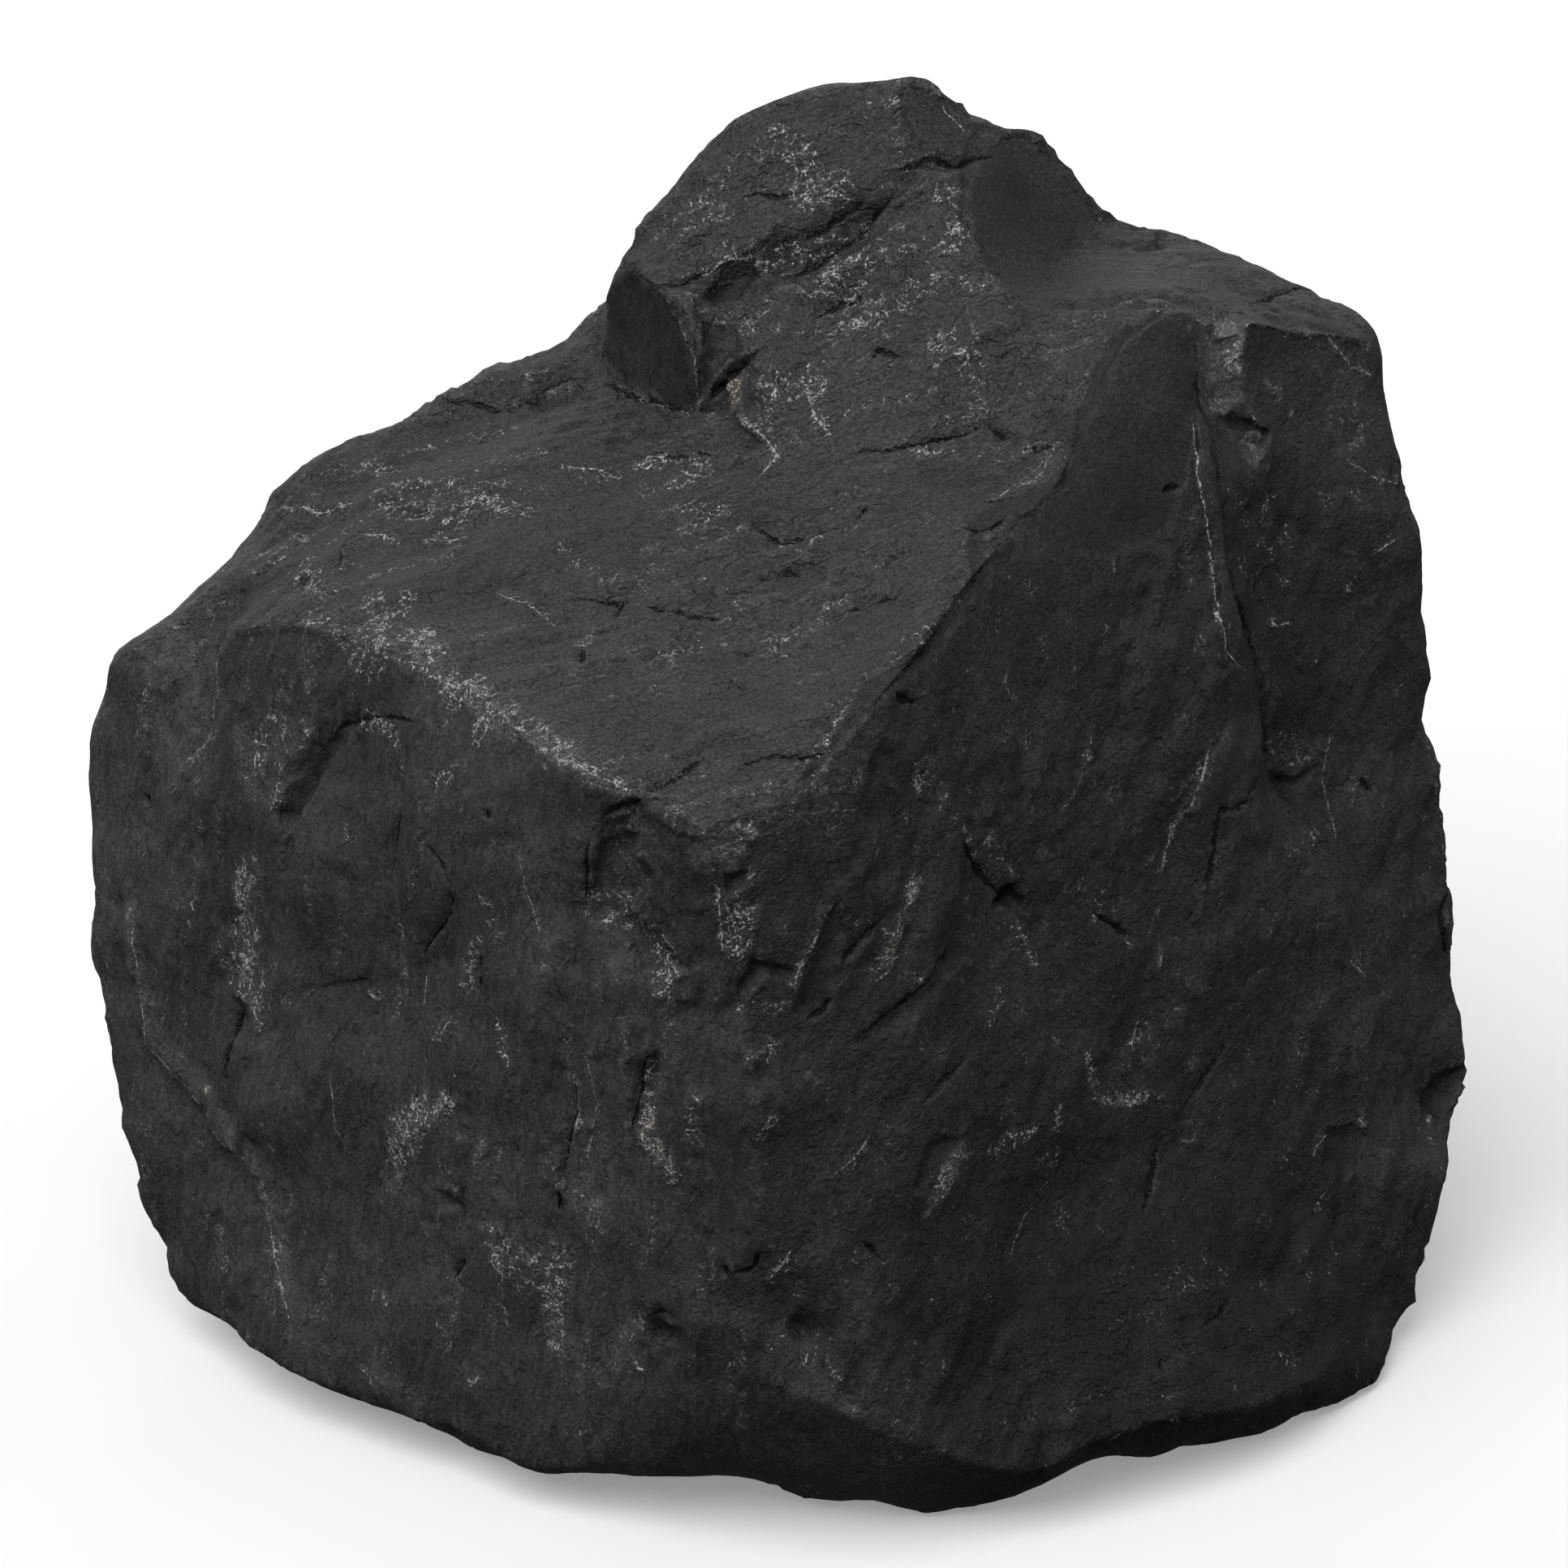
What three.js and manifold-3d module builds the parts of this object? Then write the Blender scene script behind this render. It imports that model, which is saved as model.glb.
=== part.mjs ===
// A raw lump of shungite, a near-black stone: a tilted top, a blunt crown at the back, two
// broken walls that meet at a front corner, and a flat foot that it rests on.
// Millimetres. +X right, +Y back, +Z up. The origin is under the middle of the stone, at its foot.
import * as THREE from 'three';
import { ConvexHull } from 'three/addons/math/ConvexHull.js';
import { SimplexNoise } from 'three/addons/math/SimplexNoise.js';
import { mergeVertices } from 'three/addons/utils/BufferGeometryUtils.js';
import Module from 'manifold-3d';

// Driving dimensions
const FACET_SIDE = 3.3; // the longest side that a facet keeps
const EDGE_STEP = 3; // spacing of the points along a broken edge
const CORE = new THREE.Vector3(4, 10, 26); // a point inside that every surface point faces
const SMOOTHING_PASSES = 6;
const BROKEN_GIVE = 0.06; // share of the way that a pass moves a point on a broken edge
const SOFT_GIVE = 0.2; // the same for a measured point between broken edges
const PLAIN_GIVE = 0.5; // the same for every other point
const WASTE_SIDE = 200; // side of the block that cuts the foot flat

// Broken edges, where two fracture faces meet. They stay crisp.
const BROKEN_EDGES = {
  frontCorner: [
    [-2.5, -28.5, 37], [-2, -29, 33.5], [-1.5, -29.5, 28], [-1, -30, 24], [-1, -30.5, 19],
    [-1.5, -30.5, 16.5], [-4, -30, 13], [-5.5, -29.5, 10], [-7.5, -28.5, 6.5], [-10, -27, 3.5],
  ],
  topFrontRim: [
    [-29.5, -3, 40], [-26, -7, 42.5], [-21.5, -11, 43], [-18, -15, 43.5], [-15, -19, 43.5],
    [-13, -22, 42.5], [-10.5, -25, 42], [-7, -27.5, 42], [-5, -29, 41], [-3, -29, 40.5],
    [-0.5, -28, 40.5], [1.5, -26, 42.5],
  ],
  topRightRim: [
    [1.5, -26, 42.5], [3.5, -24, 44.5], [6, -21.5, 46], [8.5, -18, 48], [10, -15.5, 49],
    [10.5, -13, 50.5], [14.5, -8.5, 51], [15, -6.5, 52.5], [16, -4.5, 54], [17.5, -2, 56],
    [20.5, 0, 57], [25, 3, 55.5], [29.5, 7, 53.5], [32, 9.5, 51.5],
  ],
  topBackLeftRim: [
    [-31, 0, 39.5], [-28, 2, 42], [-26.5, 4, 42.5], [-24, 6, 44.5], [-22, 9, 46.5], [-19, 11, 47.5],
    [-17.5, 13, 48], [-14, 16, 48], [-11.5, 17, 48.5], [-9.5, 16, 49],
  ],
  topBackRightRim: [
    [17.5, 18, 56.5], [19, 18, 55.5], [21.5, 18, 55], [23, 18, 54], [26, 18, 52.5],
    [28.5, 16.5, 52.5], [31, 13.5, 51.5], [32, 11, 50.5],
  ],
  leftStrip: [[-29.5, -3, 40], [-29.5, -4.5, 35.5], [-30.5, -3.5, 33.5]],
  crownSkyline: [
    [-9.5, 13, 51], [-9.5, 11.5, 54.5], [-9, 12, 55.5], [-7, 13.5, 57.5], [-4, 15, 61],
    [-0.5, 15, 63.5], [4, 15, 64], [7, 15, 65], [8.5, 15.5, 64.5], [10.5, 16, 62.5],
    [12, 16.5, 61], [13.5, 17, 61], [15.5, 17.5, 59.5], [16.5, 18, 58], [17.5, 18, 56.5],
  ],
  crownFoot: [
    [-9.5, 13.5, 48.5], [-7, 10, 48], [-4.5, 6.5, 48.5], [-2.5, 3.5, 49.5], [-0.5, 0, 49.5],
  ],
  crownLeftEdge: [
    [-9, 12, 55.5], [-7.5, 8.5, 55.5], [-5.5, 6, 55.5], [-5, 5, 54], [-4.5, 5.5, 51.5],
    [-4.5, 6.5, 48.5],
  ],
  crownRightEdge: [
    [7, 15, 65], [6.5, 12.5, 63], [10, 11, 61], [10, 8, 58.5], [10.5, 7, 57.5], [12, 4, 56],
  ],
  crownRightFoot: [
    [12, 4, 56], [13, 6.5, 55], [14.5, 10, 55], [15, 13, 55], [17, 16, 55.5], [17.5, 18, 56.5],
  ],
  wallRib: [
    [20.5, 0, 57], [21.5, -0.5, 54.5], [22, -3, 50.5], [22.5, -5, 46.5], [23, -7, 43],
    [23.5, -9, 39], [23, -10, 36],
  ],
  wallGroove: [
    [23.5, 3, 54.5], [23.5, 1, 51], [24, -1, 47], [24.5, -2.5, 43], [25, -4, 39],
    [25.5, -4.5, 35.5], [26.5, -4, 32],
  ],
  lowerFrontEdge: [
    [-10, -27, 3.5], [-6.5, -28, 4], [-2.5, -30, 7.5], [2, -31.5, 9.5], [6, -31, 7],
    [9.5, -30, 5], [13, -28.5, 3.5], [16.5, -27, 4.5], [21, -24.5, 4.5], [26, -21.5, 3.5],
    [29.5, -17.5, 3],
  ],
  lowerLeftEdge: [
    [-10, -27, 3.5], [-13.5, -25.5, 2.5], [-17, -23.5, 3], [-20, -20.5, 2.5],
    [-23.5, -18, 3], [-26.5, -15.5, 3], [-29, -13, 3],
  ],
};

// Soft lines, the swells and hollows of the fracture faces between the broken edges.
const SOFT_LINES = {
  leftEnd: [
    [-35.5, 1, 38], [-37, 2, 36], [-38.5, 3, 32.5], [-38.5, 3, 29], [-38.5, 3, 26.5],
    [-39, 2, 24], [-39, 2, 20.5], [-38.5, 1, 18.5], [-37.5, 0, 16], [-37, -1, 13.5],
    [-36, -2, 11], [-36, -3, 8], [-35.5, -4, 5], [-34, -6.5, 2.5], [-32, -9, 2],
  ],
  leftLongRib: [
    [-35, 0, 28], [-34.5, -2, 21.5], [-33.5, -4, 16.5], [-30.5, -8, 15], [-29, -10, 13],
    [-26.5, -13, 12.5], [-26, -14, 7.5],
  ],
  leftWallEnd: [[-28, -8.5, 31.5], [-27.5, -10, 25], [-27.5, -11.5, 19]],
  leftWallMiddle: [
    [-19, -17.5, 38.5], [-19, -19.5, 32.5], [-18, -21, 26], [-17.5, -22, 19.5],
    [-17.5, -22.5, 12.5], [-17.5, -23, 6.5],
  ],
  leftWallFront: [
    [-10.5, -26, 37.5], [-10, -27, 31.5], [-10.5, -27, 24.5], [-11, -27, 18.5],
    [-10.5, -27, 11.5], [-11.5, -26.5, 6.5],
  ],
  rightWallFront: [
    [4, -25, 39.5], [4.5, -26, 33.5], [4, -27, 26.5], [4.5, -27.5, 19.5], [5.5, -29, 13],
  ],
  rightWallNear: [
    [9.5, -18.5, 43.5], [8.5, -21, 37.5], [9.5, -22, 31.5], [10.5, -22, 24.5], [10.5, -23, 18],
    [11, -25, 11],
  ],
  rightWallMiddle: [
    [16.5, -8.5, 48], [16, -11.5, 42.5], [16.5, -13.5, 36.5], [17.5, -14.5, 30], [18, -15, 23],
    [18, -16.5, 16.5], [18.5, -19, 10.5],
  ],
  rightWallLowRib: [
    [23, -10, 33.5], [23.5, -9.5, 27.5], [24, -10, 20.5], [24.5, -12, 14], [25, -15.5, 8],
  ],
  rightWallPanelEdge: [[26, 4, 53.5], [26, 2, 48.5], [26.5, 0, 42], [27, -2, 36]],
  rightWallPanel: [
    [30, 5.5, 47], [30, 2.5, 41], [30.5, 0, 35], [29.5, -3, 29.5], [31.5, -3, 22],
    [32, -5, 16], [32, -8, 10], [31, -11, 5.5],
  ],
  rightEnd: [
    [32.5, 9.5, 49.5], [33.5, 8, 47], [34, 7, 44.5], [35, 6, 42], [35, 6, 39.5], [36, 5, 35.5],
    [36, 5, 33], [36.5, 5, 29.5], [37, 4.5, 26.5], [37.5, 4, 23.5], [37.5, 4, 21],
    [37.5, 3, 18.5], [38, 2, 16], [38.5, 1, 13.5], [38.5, 0, 11.5], [37.5, -1, 10], [37.5, -2, 7],
    [36, -4, 3.5], [35.5, -7, 1.5], [33.5, -11.5, 0],
  ],
  crownFrontLeft: [[-4.5, 11, 58.5], [-1, 7, 56], [-1, 3.5, 52.5]],
  crownFrontMiddle: [[-2.5, 14, 60], [0, 11, 59], [2, 5.5, 54], [3.5, 2, 51.5]],
  crownFrontRight: [[4, 12.5, 61], [6.5, 8.5, 57.5], [6, 4.5, 54], [8.5, 1.5, 53.5]],
  crownFootRight: [[2, -1, 49], [6, -1.5, 50], [8.5, -1.5, 50.5], [10.5, -1, 52], [11, 1.5, 54]],
  topLedge: [[-18, 10, 46.5], [-15.5, 10, 46.5], [-14, 11, 46.5], [-11, 12, 47.5]],
  topLeft: [[-24.5, -2, 43.5], [-21.5, 1, 45.5], [-15, -4, 46.5], [-16.5, -10, 44.5]],
  topMiddle: [[-10.5, -9, 44.5], [-6.5, -20, 43.5], [-2.5, -13, 44.5], [2, -19, 44.5]],
  topUnderCrown: [[-11, 3, 48], [-5.5, -3, 47], [4, -7, 48], [10.5, -5, 50]],
  topByCrown: [[-12, 10.5, 47.5], [-9.5, 8, 48], [-7, 5.5, 48], [-4.5, 2.5, 48.5]],
  topRight: [[14.5, -1, 53], [17, 3, 55], [21.5, 8, 55.5], [26.5, 10, 54]],
  crownBack: [
    [-8, 19, 52], [-4, 21.5, 57.5], [1, 22, 61], [6, 22.5, 62], [11, 22, 59.5], [15, 22, 56],
  ],
  backShoulder: [
    [-29, 11, 42], [-23, 15, 43.5], [-16, 20, 45], [-8, 25, 47], [0, 27.5, 50.5],
    [8, 27.5, 51], [16, 26, 51.5], [24, 22.5, 50], [30, 17, 48],
  ],
  backStep: [
    [-32, 9, 36], [-22, 19, 33], [-12, 25, 35], [-2, 28, 38], [8, 29, 35], [17, 27.5, 37],
    [25, 23.5, 39], [32, 15, 40],
  ],
  backMiddle: [
    [-34, 9, 26], [-24, 20.5, 22], [-14, 26.5, 24], [-3, 28.5, 22], [8, 30, 21], [18, 27, 25],
    [27, 21.5, 27], [34, 13, 28],
  ],
  backLower: [
    [-33.5, 7, 13], [-29, 14, 11], [-22, 19.5, 12], [-12, 25, 11], [0, 27, 13], [11, 28.5, 11],
    [21, 23, 13], [29, 17, 12], [35, 9, 14],
  ],
  backFootEdge: [
    [-28, 6, 4], [-24, 13, 3], [-17, 18, 3.5], [-8, 22, 2.5], [2, 24, 3], [12, 24, 2.5],
    [20, 19, 3.5], [27, 13, 3], [32, 4, 3.5],
  ],
  footFront: [
    [-25, -13, 1], [-20, -18, 1], [-17, -22.5, 0.5], [-13.5, -24.5, 0.5], [-7.5, -24, 1],
    [-3, -25, 1], [2, -26.5, 0.5], [6, -27.5, 0], [9, -27.5, 0], [11.5, -27, 0.5],
    [14, -25.5, 1], [15.5, -23.5, 1], [19.5, -22.5, 0.5], [23.5, -21, 0.5], [26, -19, 0],
    [30, -17, 0], [32.5, -14.5, 0],
  ],
  footBack: [
    [29, -6, 0], [28, 3, 0], [23, 11, 0], [15, 17, 0], [4, 20, 0], [-7, 18, 0], [-16, 13, 0],
    [-23, 6, 0], [-26, -3, 0],
  ],
  footInside: [[-10, -8, -1], [8, -10, -1], [14, 4, -1], [0, 8, -1], [-10, 4, -1]],
};

// Hollows that a chip has left: from one end to the other, with a reach around and a depth.
const CHIPS = [
  { name: 'under the front cusp', from: [-8, -27, 39.5], to: [-8, -27.5, 34], reach: 3.5, depth: 0.9 },
  { name: 'long scar on the left wall', from: [-22, -14.5, 38], to: [-21, -18, 26], reach: 5.5, depth: 1 },
  { name: 'low on the left wall', from: [-27.5, -12, 11.5], to: [-27, -12.5, 10], reach: 4, depth: 0.9 },
  { name: 'recess in the crown', from: [-3, 7.5, 56], to: [-2, 6, 54], reach: 3.4, depth: 0.9 },
  { name: 'pit in the right wall', from: [11, -19.5, 32.5], to: [12, -19.5, 30.5], reach: 3.6, depth: 0.9 },
  { name: 'foot of the groove', from: [27, -3.5, 32], to: [29, -3, 30], reach: 4, depth: 1.6 },
  { name: 'notch at the right end', from: [36, -2, 11], to: [35, -3.5, 12], reach: 3.5, depth: 0.8 },
  { name: 'bite in the front corner', from: [-1.5, -29.5, 30], to: [1, -29, 28.5], reach: 3.5, depth: 0.7 },
  { name: 'low bite in the front corner', from: [-1, -30, 15], to: [1, -29.5, 13], reach: 3.5, depth: 0.7 },
  { name: 'great shell on the back', from: [3, 29, 32], to: [11, 28, 27], reach: 13, depth: 2.4 },
  { name: 'shell at the back left', from: [-22, 20.5, 22], to: [-18, 22, 16], reach: 9, depth: 1.6 },
  { name: 'shell at the back right', from: [28, 20, 34], to: [30, 17, 22], reach: 7, depth: 1.2 },
];

// Waves of the broken surface: length and height of each, from broad swells to small knocks.
const WAVES = [
  { length: 16, height: 0.45 },
  { length: 7, height: 0.3 },
];
const WAVE_SEED = 11;

// A repeatable row of random numbers from 0 to 1.
function seededRandom(seed) {
  const LIMIT = 2147483647;
  const STEP = 48271;
  let state = seed;
  return {
    random() {
      state = (state * STEP) % LIMIT;
      return state / LIMIT;
    },
  };
}

// Points along a line, at most EDGE_STEP apart.
function walk(line) {
  const corners = line.map((xyz) => new THREE.Vector3(...xyz));
  const points = [corners[0]];
  for (let i = 1; i < corners.length; i += 1) {
    const steps = Math.ceil(corners[i].distanceTo(corners[i - 1]) / EDGE_STEP);
    for (let s = 1; s <= steps; s += 1) {
      points.push(corners[i - 1].clone().lerp(corners[i], s / steps));
    }
  }
  return points;
}

// The cage: every measured point once, with the broken edges that it lies on.
function measuredPoints() {
  const cage = new Map();
  const add = (point, edge) => {
    const key = point.toArray().map((v) => v.toFixed(2)).join();
    if (!cage.has(key)) cage.set(key, { point, edges: new Set(), give: SOFT_GIVE });
    if (edge) cage.get(key).edges.add(edge);
  };
  Object.entries(BROKEN_EDGES).forEach(([edge, line]) => walk(line).forEach((p) => add(p, edge)));
  Object.values(SOFT_LINES).flat().forEach((xyz) => add(new THREE.Vector3(...xyz), null));
  return [...cage.values()];
}

// Joins neighbours into triangles: the hull of their directions from the core says which they are.
function joinNeighbours(points) {
  const directions = points.map(({ point }) => point.clone().sub(CORE).normalize());
  const indexOf = new Map(directions.map((direction, i) => [direction, i]));
  const hull = new ConvexHull().setFromPoints(directions);
  return hull.faces.map(({ edge }) => (
    [edge, edge.next, edge.next.next].map((side) => indexOf.get(side.head().point))
  ));
}

// The point half way along a side. It is on a broken edge only if both ends are on the same one.
function halfWay(a, b) {
  const edges = new Set([...a.edges].filter((edge) => b.edges.has(edge)));
  return { point: a.point.clone().lerp(b.point, 0.5), edges, give: PLAIN_GIVE };
}

// Cuts a triangle at the new points on its sides, given as null where a side has none.
function cutTriangle(corners, middles) {
  const count = middles.filter((m) => m !== null).length;
  if (count === 0) return [corners];
  // turned so that the first side is cut and, where two are, the last one is not
  const turn = [0, 1, 2].find((k) => (
    middles[k] !== null && !(count === 2 && middles[(k + 2) % 3] !== null)
  ));
  const [a, b, c] = [0, 1, 2].map((k) => corners[(turn + k) % 3]);
  const [ab, bc, ca] = [0, 1, 2].map((k) => middles[(turn + k) % 3]);
  if (count === 1) return [[a, ab, c], [ab, b, c]];
  if (count === 2) return [[ab, b, bc], [a, ab, bc], [a, bc, c]];
  return [[a, ab, ca], [ab, b, bc], [ca, bc, c], [ab, bc, ca]];
}

// Halves every side that is too long, again and again, and adds the new points to the list.
function refine(points, triangles) {
  const middles = new Map();
  const middle = (a, b) => {
    const key = a < b ? `${a} ${b}` : `${b} ${a}`;
    if (!middles.has(key)) {
      const isLong = points[a].point.distanceTo(points[b].point) > FACET_SIDE;
      middles.set(key, isLong ? points.push(halfWay(points[a], points[b])) - 1 : null);
    }
    return middles.get(key);
  };
  const finer = triangles.flatMap(([a, b, c]) => (
    cutTriangle([a, b, c], [middle(a, b), middle(b, c), middle(c, a)])
  ));
  return finer.length === triangles.length ? finer : refine(points, finer);
}

// Draws each point towards the middle of its neighbours, least of all on a broken edge.
function soften(points, triangles) {
  const near = points.map(() => new Set());
  triangles.forEach((triangle) => triangle.forEach((a) => triangle.forEach((b) => {
    if (a !== b) near[a].add(b);
  })));
  for (let pass = 0; pass < SMOOTHING_PASSES; pass += 1) {
    const middles = near.map((others) => {
      const sum = new THREE.Vector3();
      others.forEach((i) => sum.add(points[i].point));
      return sum.divideScalar(others.size);
    });
    points.forEach(({ point, edges, give }, i) => {
      point.lerp(middles[i], edges.size > 0 ? BROKEN_GIVE : give);
    });
  }
}

// How far the chips and waves move a point of the surface along its normal.
function reliefAt(point, noise) {
  let height = 0;
  WAVES.forEach((wave, i) => {
    const [x, y, z] = point.toArray().map((v) => v / wave.length + i);
    height += wave.height * noise.noise3d(x, y, z);
  });
  const nearest = new THREE.Vector3();
  CHIPS.forEach(({ from, to, reach, depth }) => {
    const floor = new THREE.Line3(new THREE.Vector3(...from), new THREE.Vector3(...to));
    const distance = floor.closestPointToPoint(point, true, nearest).distanceTo(point);
    if (distance < reach) height -= depth * (1 - (distance / reach) ** 2) ** 2;
  });
  return height;
}

// A three.js geometry of the whole lump, before its foot is cut.
function lumpGeometry() {
  const points = measuredPoints();
  const triangles = refine(points, joinNeighbours(points));
  soften(points, triangles);
  const geometry = new THREE.BufferGeometry();
  const positions = points.flatMap(({ point }) => point.toArray());
  geometry.setAttribute('position', new THREE.Float32BufferAttribute(positions, 3));
  geometry.setIndex(triangles.flat());
  geometry.computeVertexNormals();
  const noise = new SimplexNoise(seededRandom(WAVE_SEED));
  const normal = new THREE.Vector3();
  points.forEach(({ point }, i) => {
    normal.fromBufferAttribute(geometry.attributes.normal, i);
    point.addScaledVector(normal, reliefAt(point, noise));
    geometry.attributes.position.setXYZ(i, ...point.toArray());
  });
  return geometry;
}

// The block under the surface that the stone rests on.
function wasteGeometry() {
  const block = new THREE.BoxGeometry(WASTE_SIDE, WASTE_SIDE, WASTE_SIDE);
  return block.translate(0, 0, -WASTE_SIDE / 2);
}

const wasm = await Module();
wasm.setup();

function toSolid(geometry) {
  const bare = geometry.clone();
  bare.deleteAttribute('normal');
  bare.deleteAttribute('uv');
  const merged = mergeVertices(bare);
  return new wasm.Manifold(new wasm.Mesh({
    numProp: 3,
    vertProperties: new Float32Array(merged.attributes.position.array),
    triVerts: new Uint32Array(merged.index.array),
  }));
}

function toGeometry(solid) {
  const mesh = solid.getMesh();
  const geometry = new THREE.BufferGeometry();
  geometry.setAttribute('position', new THREE.BufferAttribute(mesh.vertProperties, mesh.numProp));
  geometry.setIndex(new THREE.BufferAttribute(mesh.triVerts, 1));
  return geometry;
}

// Moves the stone sideways so that the origin is under the middle of its box.
function centreOverOrigin(geometry) {
  geometry.computeBoundingBox();
  const middle = geometry.boundingBox.getCenter(new THREE.Vector3());
  return geometry.translate(-middle.x, -middle.y, 0);
}

const footedLump = toSolid(lumpGeometry()).subtract(toSolid(wasteGeometry()));
const shungite = new THREE.MeshStandardMaterial({ color: 0x2d2d2d, roughness: 0.6, metalness: 0 });
const stone = new THREE.Mesh(centreOverOrigin(toGeometry(footedLump)), shungite);
stone.name = 'stone';

const part = new THREE.Group();
part.add(stone);
export default part;
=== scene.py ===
"""A lump of raw shungite: its broken surface, its finish, and the floor, light and camera round it.

The CAD model gives the form. The surface made here starts from it and adds what a broken stone
shows closer up: flakes, steps along the grain, cracks, hollows, ribs and a fine grit. The marks
that the photograph shows are placed by its pixels: a sight line from the camera through a pixel
meets the stone where the mark is. All lengths are in millimetres until a Blender object is made.
"""
import itertools
import math

import bpy
import numpy as np
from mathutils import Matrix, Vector
from mathutils.bvhtree import BVHTree


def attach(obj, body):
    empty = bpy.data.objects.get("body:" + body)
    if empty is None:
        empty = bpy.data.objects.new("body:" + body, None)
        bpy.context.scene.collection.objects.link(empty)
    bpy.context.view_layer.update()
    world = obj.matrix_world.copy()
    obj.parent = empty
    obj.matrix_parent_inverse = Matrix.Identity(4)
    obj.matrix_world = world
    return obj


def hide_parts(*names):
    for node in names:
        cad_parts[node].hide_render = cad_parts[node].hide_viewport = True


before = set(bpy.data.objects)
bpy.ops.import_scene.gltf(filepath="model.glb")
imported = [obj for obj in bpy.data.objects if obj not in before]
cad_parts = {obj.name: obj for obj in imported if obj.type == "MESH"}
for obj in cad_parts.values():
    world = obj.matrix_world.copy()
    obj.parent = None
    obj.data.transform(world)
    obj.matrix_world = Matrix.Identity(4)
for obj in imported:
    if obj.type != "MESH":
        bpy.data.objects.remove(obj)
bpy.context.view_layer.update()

MM = 0.001  # one millimetre in Blender's metres

# The camera of the photograph, found by laying the CAD model's outline over the stone's
PHOTO_SIDE = 1932  # pixels
PIXELS_PER_MM = 23  # at the camera's target
CAMERA_DISTANCE = 460
CAMERA_ELEVATION = math.radians(25)
CAMERA_TARGET = np.array([0.25, 0.0, 30.4])
SENSOR_WIDTH = 36
RIGHT = np.array([1.0, 0.0, 0.0])
FORWARD = np.array([0.0, math.cos(CAMERA_ELEVATION), -math.sin(CAMERA_ELEVATION)])
UP = np.array([0.0, math.sin(CAMERA_ELEVATION), math.cos(CAMERA_ELEVATION)])
CAMERA_PLACE = CAMERA_TARGET - CAMERA_DISTANCE * FORWARD
FOCAL_PIXELS = PIXELS_PER_MM * CAMERA_DISTANCE

# The mesh
WELD = 1e-4  # points closer than this are one
CREASE_ANGLE = math.radians(33)  # a side that bends more than this stays sharp
FORM_SIDES = (1.3, 0.95)  # longest sides while the CAD facets are being rounded
SEEN_SIDE = 0.62  # longest side on the side of the stone that the photograph shows
UNSEEN_SIDE = 0.93
FOOT_SIDE = 4.0
CRACK_SIDE = 0.3
CRACK_REACH = 0.27  # how far from a crack, a vein or the edge of a chip its short sides go
EVEN_PASSES = 3
REFINE_ROUNDS = 5

# The grain: directions that the fracture marks run in
TOP_GRAIN = (0.96, 0.26, 0.10)
LEFT_GRAIN = (0.10, -0.12, 0.98)
RIGHT_GRAIN = (-0.42, -0.30, -0.86)
GRAIN_STRETCH = 5.0  # how much longer marks are along the grain than across it

# Sizes and heights of the random relief. Those along the grain are drawn out by GRAIN_STRETCH.
SWELL_SIZE = 5.5
SWELL_HEIGHT = 0.1
FACE_SIZE = 2.3
FACE_HEIGHT = 0.2
SMALL_FACE_SIZE = 1.0
SMALL_FACE_HEIGHT = 0.07
LEDGE_SIZE = 3.2
LEDGE_HEIGHT = 0.09
LEDGES_PER_BUMP = 1.8
LEDGE_RISER = 0.25  # share of each ledge that is its riser
GRIT_SIZE = 0.8
GRIT_HEIGHT = 0.035
WARP_SIZE = 2.6  # the random bending of the broken faces' edges
WARP_REACH = 0.8
EXTRA_TOP_RELIEF = 0.6
EXTRA_HIDDEN_RELIEF = 0.8
LESS_OUTLINE_RELIEF = 0.5
LESS_CALM_RELIEF = 0.8
LIVELY_SIZE = 9.0  # broad parts have a livelier or a quieter relief
LEAST_LIVELY = 0.4
LIVELY_GAIN = 1.2
SHELL_SIZE = 11.0  # shallow hollows on the hidden sides
SHELL_DEPTH = 1.1
CHIP_SIZE = 7.0  # flat chips on the hidden sides
CHIP_TILT = 0.65
FOOT_HEIGHT = 4.0  # the shells and chips fade out this far above the foot
SEED = 7
FLAKE_COUNT = 420
FLAKE_RADIUS = (1.2, 6.0)
FLAKE_DEPTH = 0.05  # share of its radius
LESS_CALM_FLAKES = 0.7
FACE_UNEVENNESS = 0.45  # of the broken faces on the hidden sides
FACE_BUMP_SIZE = 8.0

# Where things apply. Facing is 1 straight at the camera, 0 edge-on and below 0 behind.
SEEN_FACING = -0.1
OUTLINE_FACING = 0.2
HIDDEN_PLACES = (-0.2, -0.55)  # the same, for the direction from the stone's middle
UPWARD = (0.45, 0.7)  # how far up a face of the top looks
LEFTWARD = (0.25, -0.25)  # how far right a wall looks, from the right wall to the left one

# How the marks are laid
CRACK_CUT = 0.7  # share of a crack's stated depth that is cut into the surface
CRACK_LIP = 0.14  # how far the surface drops on one side of a crack
CRACK_LIP_REACH = 1.0
# A crack's dark line is painted shade in the crack, and the bump presses it in too.
CRACK_LINE = 0.75  # a crack's dark line, as a share of its half width
CRACK_UNEVENNESS = 0.9
CRACK_WIDTHS = (0.3, 1.5)  # from its narrowest to its widest place
PATCH_SPREAD = 1.5  # a patch fades out at about this many times its reach from its line
PATCH_LIMIT = 1.8  # and nothing of it lies further out than this many times
PATCH_RAGGED = 0.35
PATCH_EDGE = (0.1, 0.7)
PATCH_STRENGTH = 0.8
LINE_REACH = 0.45  # how far from a drawn line its distance is known
LINE_FADE = 0.28  # from here on to there, a drawn line's width goes to 0
VEIN_REACH = 0.35  # a patch of flecks no wider than this is a vein
VEIN_HALF_WIDTH = 0.09
FINE_VEIN_REACH = 0.3  # patches no wider than this get short sides
PANEL_CUT = 0.8  # share of a panel's stated drop that is cut into the surface
PANEL_WALL = (-0.1, 0.7)  # the drop comes between these distances inside the edge
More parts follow.
